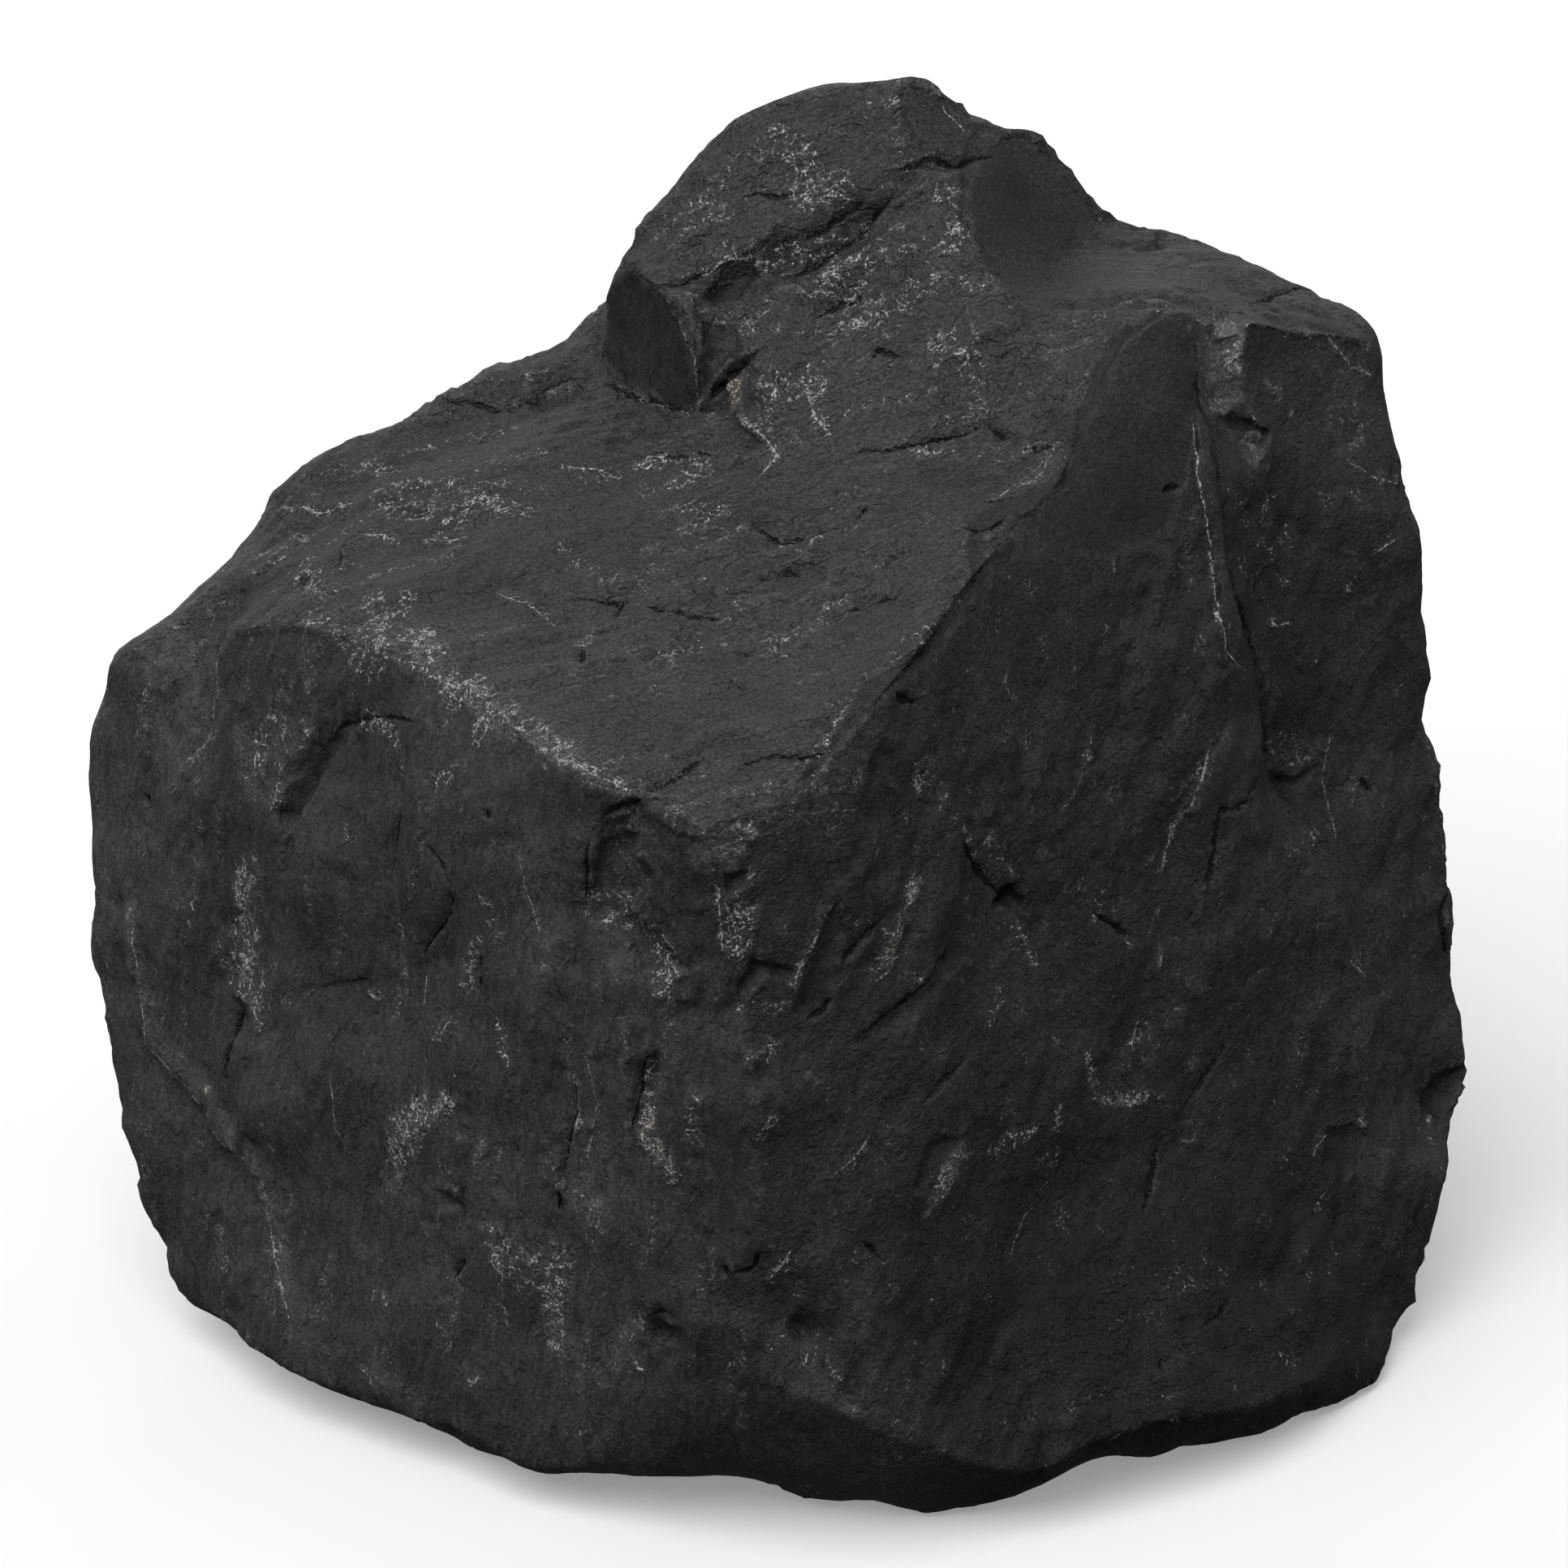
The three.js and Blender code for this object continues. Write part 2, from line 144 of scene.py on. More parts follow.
PANEL_EDGE = (-0.06, 0.18)
PANEL_RAGGED = 0.12
SHARP_PANEL_DROP = 0.3  # panels this deep get short sides along the edge

# Broken faces of the sides that the photograph doesn't show: (direction, depth cut)
HIDDEN_FACES = {
    "back": ((0.1, 0.97, 0.08), 3.2),
    "back left": ((-0.62, 0.75, 0.1), 3.6),
    "back right": ((0.68, 0.7, 0.15), 3.2),
    "low at the back left": ((-0.3, 0.8, -0.5), 3.0),
    "low at the back right": ((0.38, 0.8, -0.46), 3.2),
    "lowest at the left": ((-0.66, 0.5, -0.56), 3.0),
    "lowest at the right": ((0.66, 0.46, -0.6), 3.0),
    "back of the crown": ((-0.05, 0.85, 0.52), 2.2),
    "left shoulder": ((-0.66, 0.5, 0.56), 1.6),
    "right shoulder": ((0.66, 0.55, 0.5), 1.6),
    "left end": ((-0.93, 0.35, -0.08), 1.4),
    "right end": ((0.94, 0.32, 0.05), 1.4),
}

# The marks below are named lines and outlines, each followed by its own few numbers. A line's
# corners are pixels of the photograph or, on the sides that it doesn't show, millimetres.

# Cracks: (line, half width, depth)
CRACKS = {
    "shelf crack": (
        [(1030, 562), (1066, 552), (1100, 554), (1142, 542), (1166, 540), (1198, 526), (1214, 518),
         (1236, 537), (1259, 535), (1290, 530)], 0.17, 0.5),
    "shelf crack, lower strand": ([(1254, 547), (1276, 549), (1297, 542), (1310, 542)], 0.14, 0.35),
    "middle shelf": (
        [(920, 645), (942, 655), (959, 664), (983, 659), (1006, 655), (1028, 645), (1049, 637),
         (1073, 618), (1087, 618), (1100, 623)], 0.17, 0.4),
    "rim shelf": ([(1183, 652), (1200, 652), (1224, 645), (1245, 634)], 0.15, 0.35),
    "rim shelf, upper": ([(1211, 618), (1238, 614), (1259, 606)], 0.14, 0.3),
    "gash at the rim": ([(1100, 850), (1118, 862), (1135, 867)], 0.25, 0.5),
    "nick on the top": ([(908, 847), (925, 850)], 0.18, 0.35),
    "upper nick on the top": ([(914, 805), (928, 811)], 0.15, 0.3),
    "crown nick": ([(1073, 447), (1083, 432), (1100, 435), (1114, 438)], 0.15, 0.35),
    "crown foot crevice": (
        [(872, 496), (883, 480), (901, 459), (928, 440), (942, 432)], 0.28, 0.7),
    "crown top seam": (
        [(1077, 214), (1097, 212), (1119, 206), (1140, 197), (1158, 195), (1184, 199), (1201, 193),
         (1231, 195)], 0.17, 0.45),
    "crown diagonal": (
        [(958, 340), (989, 334), (1010, 321), (1032, 301), (1058, 284), (1075, 262), (1097, 245),
         (1119, 234)], 0.2, 0.5),
    "left facet foot": (
        [(737, 466), (763, 477), (789, 492), (824, 503), (858, 512)], 0.22, 0.5),
    "back shelf": ([(620, 501), (659, 488), (698, 472), (733, 466)], 0.2, 0.4),
    "ledge by the crown": ([(798, 557), (832, 555), (862, 556), (892, 560)], 0.14, 0.3),
    "top branch": ([(700, 738), (735, 739), (764, 740), (758, 767), (733, 780)], 0.16, 0.45),
    "top branch, right": ([(789, 747), (830, 753), (868, 765), (896, 770)], 0.15, 0.4),
    "top pit line": ([(718, 800), (719, 826)], 0.17, 0.35),
    "tongue seam": ([(781, 975), (818, 960), (851, 941), (870, 930)], 0.14, 0.35),
    "tongue ledge": ([(908, 946), (942, 932), (976, 932), (1010, 925), (1035, 910)], 0.14, 0.35),
    "upper left nick": ([(428, 668), (420, 680), (420, 695)], 0.14, 0.3),
    "cusp overhang": ([(739, 1008), (760, 995), (789, 987)], 0.28, 0.6),
    "cusp chip side": ([(726, 1030), (722, 1060), (722, 1095), (720, 1126)], 0.16, 0.35),
    "left hairline": ([(482, 925), (494, 954), (490, 1008), (486, 1045), (477, 1091)], 0.15, 0.22),
    "middle hairline": (
        [(515, 1015), (530, 1040), (545, 1063), (553, 1091), (552, 1126), (540, 1149), (525, 1168),
         (517, 1198)], 0.13, 0.35),
    "level hairline": ([(391, 1218), (418, 1210), (460, 1206)], 0.09, 0.15),
    "left slot": ([(296, 1235), (288, 1260), (276, 1294), (268, 1329)], 0.26, 0.5),
    "short slot": ([(594, 1172), (591, 1205), (590, 1233)], 0.18, 0.45),
    "seam on the left wall": (
        [(703, 1330), (705, 1371), (697, 1409), (691, 1440), (684, 1463)], 0.15, 0.3),
    "seam wedge": ([(686, 1468), (684, 1480), (688, 1495)], 0.3, 0.5),
    "long slot": ([(802, 1294), (791, 1325), (785, 1371), (781, 1398)], 0.2, 0.5),
    "low crack": ([(573, 1550), (566, 1563), (557, 1577)], 0.15, 0.35),
    "corner crack": ([(892, 1558), (898, 1574)], 0.14, 0.35),
    "corner foot": ([(903, 1567), (918, 1566), (931, 1560), (934, 1540)], 0.18, 0.4),
    "right wall diagonal, upper": (
        [(1093, 1125), (1068, 1153), (1049, 1175), (1036, 1192)], 0.16, 0.4),
    "right wall diagonal, lower": ([(1030, 1224), (1015, 1244), (988, 1258)], 0.18, 0.45),
    "long diagonal": (
        [(1183, 1153), (1168, 1172), (1149, 1206), (1130, 1223), (1107, 1241), (1080, 1264),
         (1049, 1283)], 0.18, 0.5),
    "small diagonal": ([(1195, 1298), (1176, 1321), (1145, 1352), (1130, 1363)], 0.15, 0.35),
    "falling crack": ([(1344, 1122), (1367, 1137), (1394, 1154)], 0.2, 0.45),
    "groove to the pit": (
        [(1179, 1026), (1195, 1045), (1206, 1068), (1221, 1091), (1238, 1105)], 0.22, 0.45),
    "panel groove": (
        [(1464, 388), (1468, 410), (1475, 443), (1483, 501), (1500, 560), (1506, 631), (1510, 677),
         (1523, 723), (1531, 753), (1544, 799), (1552, 834), (1554, 883)], 0.24, 0.6),
    "small overhang": ([(1431, 608), (1440, 601), (1452, 600)], 0.2, 0.4),
    "panel nick": ([(1536, 629), (1548, 623)], 0.17, 0.35),
    "panel foot": (
        [(1552, 950), (1533, 992), (1506, 1000), (1495, 1072), (1480, 1133)], 0.2, 0.3),
    "panel short crack": ([(1675, 957), (1690, 978)], 0.17, 0.4),
    "low right crack": (
        [(1518, 1275), (1503, 1306), (1480, 1336), (1468, 1355), (1457, 1375)], 0.16, 0.4),
    "lowest right crack": (
        [(1428, 1407), (1425, 1441), (1418, 1465), (1405, 1502)], 0.17, 0.4),
    "curl": ([(1514, 1593), (1503, 1620), (1479, 1634)], 0.15, 0.3),
    "back rim shadow": ([(1540, 374), (1570, 366), (1598, 359), (1617, 363)], 0.2, 0.35),
    "right end ripple": ([(1786, 1088), (1776, 1130), (1780, 1164), (1790, 1191)], 0.2, 0.3),
    "pit on the left wall": ([(607, 998), (606, 1008)], 0.24, 0.4),
    "far left pit": ([(176, 978), (178, 990)], 0.24, 0.4),
    "hollow's rim": ([(795, 1623), (818, 1616), (830, 1622)], 0.16, 0.35),
    "small cracks": ([(1062, 1530), (1074, 1540), (1086, 1554)], 0.14, 0.3),
    "crescent's top": ([(398, 914), (425, 893), (460, 884), (500, 886), (524, 892)], 0.14, 0.3),
    "crown ledge": (
        [(800, 350), (830, 352), (858, 342), (888, 330), (930, 312), (958, 292)], 0.18, 0.4),
    "crown ledge, upper": ([(905, 250), (935, 238), (960, 246), (985, 240)], 0.14, 0.3),
    "crown ledge, middle": ([(985, 300), (1010, 286), (1042, 262), (1075, 240)], 0.15, 0.35),
    "crown ledge, low": ([(1000, 395), (1040, 372), (1070, 362)], 0.13, 0.3),
    "left of the top, ledge": ([(520, 500), (580, 497), (640, 512)], 0.15, 0.3),
    "line under the shelf": ([(950, 708), (990, 700), (1030, 690)], 0.13, 0.25),
    "line by the right rim": ([(1040, 760), (1075, 742), (1110, 735)], 0.13, 0.25),
    "long crack on the back": (
        [(-20, 20, 40), (-14, 24, 36), (-10, 26, 31), (-4, 28, 28), (0, 28.5, 22), (1, 28, 15)],
        0.2, 0.5),
    "branch on the back": ([(-10, 26, 31), (-13, 25, 26), (-13, 26, 20)], 0.16, 0.4),
    "back, high": ([(4, 28, 47), (9, 28, 44), (15, 27, 44), (19, 25, 41)], 0.2, 0.5),
    "back, right": ([(24, 22, 40), (27, 20, 33), (28, 19, 26), (26, 20.5, 20)], 0.2, 0.5),
    "back, low": ([(6, 28, 14), (12, 28, 11), (17, 25, 12)], 0.18, 0.4),
    "left end, back": ([(-33, 9, 30), (-30, 13, 26), (-28, 15, 20), (-29, 13, 14)], 0.2, 0.45),
    "right end, back": ([(35, 9, 38), (35.5, 9, 32), (36, 8, 25), (35, 10, 20)], 0.2, 0.45),
    "crown, back": ([(-4, 20, 57), (1, 21.5, 58), (6, 22, 56), (10, 21.5, 57)], 0.18, 0.4),
}

# Steps: (line, drop, reach of the drop). The lower side is on the right of the line.
STEPS = {
    "shelf": (
        [(1310, 545), (1259, 536), (1236, 538), (1214, 520), (1166, 542), (1100, 556),
         (1030, 564)], 0.35, 2.6),
    "middle shelf": (
        [(1100, 624), (1073, 620), (1049, 639), (1006, 657), (959, 666), (920, 647)], 0.3, 2.2),
    "ledge by the crown": ([(905, 562), (862, 558), (798, 559), (760, 566)], 0.25, 1.8),
    "top branch": ([(764, 742), (735, 741), (700, 740), (660, 736)], 0.2, 1.5),
    "tongue": ([(851, 943), (818, 962), (785, 977)], 0.25, 1.5),
    "diagonal": ([(1049, 1283), (1107, 1241), (1149, 1206), (1183, 1153)], 0.3, 1.6),
    "rim of the great shell": (
        [(-8, 27, 34), (-6, 28, 40), (2, 28, 44), (10, 28, 42), (18, 26.5, 36), (21, 25, 28)],
        0.6, 4.0),
    "rim of the left shell": (
        [(-28, 15, 28), (-22, 20, 30), (-16, 23.5, 26), (-13, 25, 19)], 0.5, 3.0),
    "ledge low on the back": ([(-16, 21, 14), (-8, 26, 12), (0, 27, 10)], 0.4, 2.4),
    "ledge at the right back": ([(24, 21.5, 30), (30, 17.5, 26), (35, 11, 24)], 0.4, 2.6),
    "ledge behind the crown": ([(-6, 20, 55), (2, 22.5, 56), (12, 22.5, 55)], 0.3, 2.0),
}

# Hollows, and ribs where the depth is below zero: (line, reach, depth)
HOLLOWS = {
    "valley over the arch": (
        [(349, 1080), (352, 1010), (372, 950), (402, 912), (440, 893)], 1.3, 0.45),
    "arch": ([(430, 950), (432, 1010), (425, 1090)], 3.6, -0.5),
    "arch, right": ([(590, 960), (610, 1040)], 4.0, -0.3),
    "between the arches": ([(492, 930), (494, 1000), (486, 1060), (476, 1110)], 1.3, 0.3),
    "pit": ([(1236, 1100), (1246, 1112)], 1.3, 0.9),
    "rib by the pit": ([(1150, 915), (1160, 1000), (1172, 1060), (1160, 1120), (1135, 1190)],
                       1.9, -0.35),
    "panel rim": ([(1621, 1072), (1656, 1176), (1682, 1244), (1675, 1330), (1684, 1390)], 1.2, -0.3),
    "right end rib": ([(1722, 1370), (1702, 1428), (1684, 1490)], 1.5, -0.35),
    "notch at the right end": ([(1768, 1368), (1772, 1340)], 1.9, 0.6),
    "long rib": (
        [(138, 1053), (165, 1114), (171, 1191), (180, 1264), (215, 1313), (253, 1352), (272, 1394),
         (320, 1440), (341, 1492), (341, 1546), (354, 1637), (379, 1674)], 1.2, -0.35),
    "left hollow": ([(142, 1105), (146, 1120)], 1.3, 0.35),
    "pit low on the left": ([(318, 1476), (319, 1484)], 0.8, 0.45),
    "pit low in the middle": ([(455, 1455), (458, 1463)], 0.9, 0.35),
    "low rib": ([(428, 1510), (437, 1560)], 0.9, -0.2),
    "left foot rib": ([(449, 1687), (482, 1712), (532, 1758)], 1.3, -0.4),
    "left foot hollow": ([(330, 1668), (362, 1688)], 1.5, 0.5),
    "second foot hollow": ([(428, 1722), (470, 1738)], 1.4, 0.5),
    "third foot hollow": ([(548, 1764), (568, 1776)], 1.4, 0.4),
    "front hollow": ([(822, 1630), (824, 1660)], 1.3, 0.6),
    "second front hollow": ([(970, 1626), (994, 1638), (998, 1655)], 1.1, 0.5),
    "facet by the corner": ([(935, 1310), (940, 1345)], 1.2, 0.35),
    "under the cusp": ([(760, 1030), (775, 1060)], 2.2, 0.5),
    "crescent": ([(352, 1060), (357, 1010), (368, 965), (398, 925)], 1.3, 0.25),
    "crown valley": (
        [(880, 395), (930, 345), (1000, 315), (1060, 275), (1120, 230)], 1.8, 0.55),
    "crown rib": ([(905, 315), (960, 275), (1040, 238), (1090, 225)], 1.8, -0.35),
    "crown rib, low": ([(930, 420), (1010, 370), (1090, 320), (1150, 265)], 2.0, -0.4),
    "furrow by the seam": ([(668, 1190), (690, 1260), (696, 1330), (688, 1400)], 1.3, 0.35),
    "furrow right of the arch": ([(560, 1090), (556, 1150), (545, 1210)], 1.2, 0.35),
}

# Patches of pale flecks, and pale veins where the reach is short: (line, reach, strength)
FLECKS = {
    "left of the top, high": ([(449, 578), (507, 580)], 0.55, 0.8),
    "left of the top": ([(480, 624), (560, 632), (600, 612), (645, 634)], 0.8, 0.9),
    "left of the top, second": ([(499, 601), (560, 598), (615, 600)], 0.6, 0.8),
    "line on the top": ([(447, 659), (466, 659), (488, 668)], 0.25, 1.0),
    "line on the top, second": ([(519, 668), (569, 661)], 0.25, 0.8),
    "line by the rim": ([(352, 628), (395, 635), (441, 622)], 0.3, 0.7),
    "line above": ([(698, 574), (737, 577), (763, 587)], 0.25, 1.0),
    "under the ledge": ([(802, 566), (863, 566)], 0.7, 0.9),
    "by the ledge": ([(800, 600), (850, 590), (880, 605)], 0.9, 0.6),
    "middle of the top": ([(800, 640), (860, 630), (900, 650)], 0.9, 0.4),
    "crown foot": ([(945, 480), (1000, 480)], 1.0, 0.8),
    "crown foot, low": ([(950, 520), (1000, 540)], 0.9, 0.6),
    "vein": ([(997, 483), (1000, 501), (1006, 518), (1023, 535)], 0.22, 1.2),
    "vein, lower": ([(919, 518), (943, 540), (958, 561), (937, 583)], 0.3, 1.2),
    "tan grains": ([(905, 478), (903, 500)], 0.45, 1.0),
    "crown edge": ([(1183, 240), (1180, 275), (1178, 310)], 0.6, 1.1),
    "crown corner": ([(1150, 235), (1185, 250)], 0.6, 0.9),
    "crown, high": ([(960, 165), (1010, 225), (985, 250), (1040, 225)], 0.8, 0.8),
    "crown, left": ([(800, 300), (900, 210), (960, 165)], 0.6, 0.6),
    "crown, right edge": ([(1110, 105), (1112, 170), (1109, 210)], 0.36, 0.7),
    "crown, middle": ([(1010, 360), (1060, 330), (1065, 390)], 0.9, 0.8),
    "crown, low": ([(1050, 400), (1150, 350), (1215, 350)], 0.9, 0.5),
    "crown, right": ([(1200, 420), (1205, 500), (1140, 520)], 0.7, 0.7),
    "crown facet": ([(1160, 130), (1190, 165)], 0.25, 0.8),
    "recess rim": ([(868, 340), (895, 322), (930, 314)], 0.25, 0.9),
    "fold": ([(840, 400), (858, 440), (862, 500)], 0.3, 0.7),
    "foot of the left facet": ([(787, 492), (824, 505), (858, 514)], 0.25, 1.2),
    "rim, far left": ([(374, 700), (385, 720), (412, 726)], 0.8, 0.7),
    "rim, hooks": ([(387, 759), (408, 771), (437, 817), (470, 800), (460, 745), (507, 738)], 0.5, 0.9),
    "rim, left": ([(430, 775), (437, 817), (470, 820)], 0.8, 0.7),
    "rim, middle": ([(515, 792), (540, 825), (570, 850), (592, 855)], 1.0, 1.1),
    "rim, brightest": ([(588, 835), (592, 870), (590, 908)], 0.5, 1.4),
    "rim, right": ([(600, 860), (644, 887), (665, 905), (690, 930)], 0.7, 0.7),
    "rim, long": ([(700, 938), (735, 958), (775, 972)], 0.35, 0.65),
    "top, low": ([(689, 672), (720, 700), (747, 717), (785, 722), (810, 697)], 0.6, 0.8),
    "top, light line": ([(611, 730), (648, 746), (689, 775)], 0.35, 0.5),
    "top, right": ([(733, 782), (715, 800)], 0.4, 0.8),
    "top, rough": ([(720, 840), (760, 850), (800, 830), (860, 800)], 1.3, 0.4),
    "top, spots": ([(863, 784), (888, 775)], 0.5, 0.7),
    "top, near the right rim": ([(900, 760), (950, 790), (970, 800)], 0.8, 0.6),
    "right rim": ([(1060, 840), (1105, 810), (1150, 775)], 0.5, 0.8),
    "right rim, high": ([(1225, 614), (1280, 582), (1304, 535)], 0.35, 0.6),
    "right rim, low": ([(985, 945), (1020, 912), (1040, 870)], 0.5, 1.0),
    "shelf": ([(1130, 560), (1230, 560), (1290, 545)], 0.7, 0.5),
    "shelf, under": ([(1120, 640), (1170, 650), (1215, 640)], 0.9, 0.5),
    "under the rim": ([(449, 885), (486, 895), (490, 912)], 0.6, 1.0),
    "left wall, under the rim": ([(540, 955), (580, 940)], 0.7, 0.6),
    "left end, high": ([(213, 925), (240, 905), (255, 880)], 0.6, 0.5),
    "left end": ([(182, 1003), (190, 1018)], 0.4, 0.7),
    "left column": ([(303, 1068), (300, 1110), (312, 1150), (298, 1190), (308, 1215)], 0.7, 0.9),
    "beside the column, left": ([(272, 1165), (280, 1195), (284, 1215)], 0.5, 0.7),
    "left column's foot": ([(292, 1222), (314, 1235), (320, 1262)], 0.45, 1.1),
    "beside the column": ([(345, 1225), (361, 1238)], 0.6, 0.7),
    "left dots": ([(253, 1339), (255, 1343)], 0.28, 1.3),
    "left dots, low": ([(252, 1494), (254, 1499)], 0.28, 1.1),
    "patch in the rib": ([(205, 1108), (235, 1112)], 0.7, 0.5),
    "crescent's foot": ([(390, 1010), (415, 1015), (445, 1022)], 0.6, 0.6),
    "crescent's edge": ([(345, 962), (338, 990)], 0.35, 0.8),
    "middle": ([(500, 1145), (512, 1155)], 0.6, 0.6),
    "curve": ([(454, 1222), (462, 1230), (469, 1231)], 0.2, 1.1),
    "light strip": ([(523, 1198), (519, 1237)], 0.25, 0.8),
    "slot, high": ([(597, 1107), (605, 1130), (613, 1153)], 0.5, 1.1),
    "slot, left": ([(590, 1160), (580, 1195), (575, 1215)], 0.5, 1.0),
    "slot, low": ([(613, 1260), (618, 1285), (624, 1308)], 0.45, 1.2),
    "middle, low": ([(536, 1283), (555, 1256)], 0.35, 0.9),
    "lower middle": ([(483, 1392), (521, 1372), (552, 1355)], 0.8, 1.0),
    "lower left": ([(548, 1442), (565, 1462)], 0.7, 0.7),
    "seam": ([(693, 1268), (700, 1330), (705, 1385)], 0.5, 0.6),
    "seam, bright": ([(709, 1370), (706, 1392)], 0.3, 1.0),
    "seam, low": ([(690, 1420), (668, 1440), (686, 1460)], 0.5, 0.7),
    "chip floor": ([(726, 1118), (765, 1120), (799, 1140), (814, 1180), (818, 1222)], 0.7, 0.55),
    "chip floor, bright": ([(812, 1200), (819, 1225)], 0.45, 1.2),
    "chip, upper": ([(745, 1030), (770, 1070), (790, 1100)], 1.0, 0.3),
    "corner patch": ([(915, 1105), (918, 1140), (910, 1175)], 0.7, 0.6),
    "corner line": ([(883, 1091), (887, 1130), (890, 1172)], 0.22, 0.9),
    "corner, below the overhang": ([(925, 1240), (955, 1235)], 0.9, 0.7),
    "corner streak": ([(1008, 1150), (985, 1190), (978, 1212)], 0.35, 1.2),
    "corner, low": ([(950, 1285), (940, 1300)], 0.6, 0.9),
    "corner, lower": ([(950, 1375), (934, 1398)], 0.35, 1.2),
    "corner, lowest": ([(973, 1542), (958, 1562), (945, 1575)], 0.35, 1.1),
    "slot grains": ([(800, 1365), (792, 1395), (815, 1415), (829, 1450)], 0.45, 1.4),
    "slot grains, right": ([(860, 1355), (850, 1400)], 0.5, 0.6),
    "low band": ([(603, 1515), (615, 1555)], 0.5, 0.8),
    "low band, middle": ([(640, 1540), (700, 1550)], 0.9, 0.8),
    "low band, long": ([(684, 1575), (686, 1620), (690, 1655)], 0.6, 1.1),
    "low band, haze": ([(630, 1590), (660, 1583)], 0.6, 0.6),
    "low spots": ([(582, 1707), (590, 1695)], 0.35, 0.8),
    "low left": ([(455, 1600), (475, 1602)], 0.5, 0.7),
    "low left, dot": ([(451, 1685), (455, 1689)], 0.25, 1.3),
    "foot corner": ([(712, 1755), (735, 1770)], 0.7, 0.7),
    "front hollow's foot": ([(785, 1680), (795, 1690)], 0.35, 1.0),
    "hollow's streak": ([(994, 1668), (992, 1680)], 0.25, 1.1),
    "right wall, high": ([(1126, 1091), (1114, 1122)], 0.3, 1.0),
    "right wall, grains": ([(1095, 1145), (1112, 1165), (1080, 1200)], 0.55, 1.0),
    "above the pit": ([(1185, 1020), (1205, 1055), (1215, 1070)], 0.4, 0.9),
    "right of the groove": ([(1222, 1040), (1236, 1062), (1244, 1086)], 0.6, 0.9),
    "long rib's edge": (
        [(167, 1113), (172, 1185), (185, 1284), (244, 1356), (271, 1401), (334, 1455),
         (343, 1545), (368, 1660)], 0.3, 0.45),
    "left end's edge": ([(225, 945), (262, 910), (268, 860), (266, 800)], 0.3, 0.45),
    "fold's edge": ([(408, 1330), (412, 1390), (436, 1430)], 0.3, 0.45),
    "fold's edge, right": ([(640, 1060), (652, 1110), (668, 1160)], 0.3, 0.35),
    "fold's edge, low": ([(716, 1290), (735, 1360), (722, 1430)], 0.3, 0.35),
    "right wall, fibre": ([(1345, 900), (1332, 960), (1300, 1010)], 0.3, 0.35),
    "right wall, long fibre": ([(1640, 900), (1628, 960), (1645, 1040)], 0.3, 0.35),
    "right wall, low fibre": ([(1240, 1560), (1262, 1500), (1300, 1440)], 0.3, 0.35),
    "left of the groove": ([(1130, 950), (1155, 975), (1170, 1010)], 0.6, 0.7),
    "below the pit": ([(1244, 1137), (1258, 1152), (1245, 1165)], 0.4, 1.2),
    "below the pit, right": ([(1268, 1178), (1274, 1188)], 0.35, 1.0),
    "below the pit, low": ([(1232, 1222), (1222, 1258)], 0.45, 1.2),
    "right wall, middle": ([(1310, 1090), (1345, 1100), (1350, 1125)], 0.5, 0.7),
    "ragged line": ([(1489, 915), (1480, 954), (1462, 1005), (1449, 1026), (1434, 1076)], 0.25, 1.1),
    "ragged line's edge": ([(1490, 925), (1465, 965), (1450, 980)], 0.5, 0.7),
    "groove's line": ([(1467, 505), (1471, 585), (1492, 673), (1500, 742), (1510, 799), (1525, 832)],
                      0.25, 0.7),
    "groove's patch": ([(1473, 630), (1480, 640)], 0.6, 0.4),
    "arc": ([(1336, 1300), (1348, 1345), (1369, 1358), (1413, 1352)], 0.45, 1.0),
    "arc, above": ([(1400, 1255), (1392, 1290)], 0.35, 0.8),
    "small streak": ([(1302, 1365), (1298, 1390)], 0.35, 0.9),
    "beside the pale bar": ([(1222, 1417), (1252, 1403), (1271, 1387)], 0.4, 1.2),
    "left of the pale bar": ([(1070, 1398), (1050, 1425), (1030, 1443)], 0.35, 0.8),
    "panel, high": ([(1636, 413), (1667, 451), (1693, 464)], 0.25, 0.7),
    "panel, right": ([(1644, 505), (1701, 515)], 0.8, 0.5),
    "panel arc": ([(1663, 570), (1700, 590), (1732, 598)], 0.3, 0.6),
    "panel spot": ([(1594, 505), (1590, 515)], 0.3, 0.9),
    "panel streak": ([(1693, 681), (1724, 660)], 0.3, 0.7),
    "panel dot": ([(1658, 722), (1660, 726)], 0.22, 1.1),
    "panel curl": ([(1560, 766), (1573, 772), (1587, 765)], 0.22, 0.9),
    "groove's foot": ([(1524, 825), (1521, 840)], 0.25, 1.1),
    "panel rim, high": ([(1591, 1053), (1620, 1025)], 0.4, 0.8),
    "panel rim": ([(1660, 1185), (1678, 1200)], 0.35, 0.8),
    "panel rim, low": ([(1672, 1330), (1678, 1380)], 0.4, 0.8),
    "low right": ([(1470, 1385), (1468, 1405), (1478, 1395)], 0.45, 0.8),
    "low right, second": ([(1614, 1425), (1636, 1395)], 0.35, 0.7),
    "low right, third": ([(1629, 1470), (1620, 1490)], 0.35, 0.7),
    "lowest right": ([(1575, 1668), (1584, 1675)], 0.4, 0.8),
    "falling crack's end": ([(1384, 1160), (1395, 1163)], 0.25, 1.0),
    "spots": ([(1434, 1175), (1427, 1195)], 0.25, 0.9),
    "corner face": ([(960, 1010), (1000, 1000), (1020, 960)], 1.0, 0.5),
    "corner face, low": ([(905, 1110), (945, 1060)], 0.8, 0.5),
    "back, high": ([(-2, 27.5, 45), (4, 28, 42)], 1.2, 0.8),
    "back, middle": ([(12, 28, 30), (16, 27, 24)], 1.4, 0.7),
    "back, left": ([(-22, 20, 30), (-18, 22, 24)], 1.2, 0.7),
    "back, left line": ([(-27, 16, 34), (-24, 19, 27)], 0.3, 1.0),
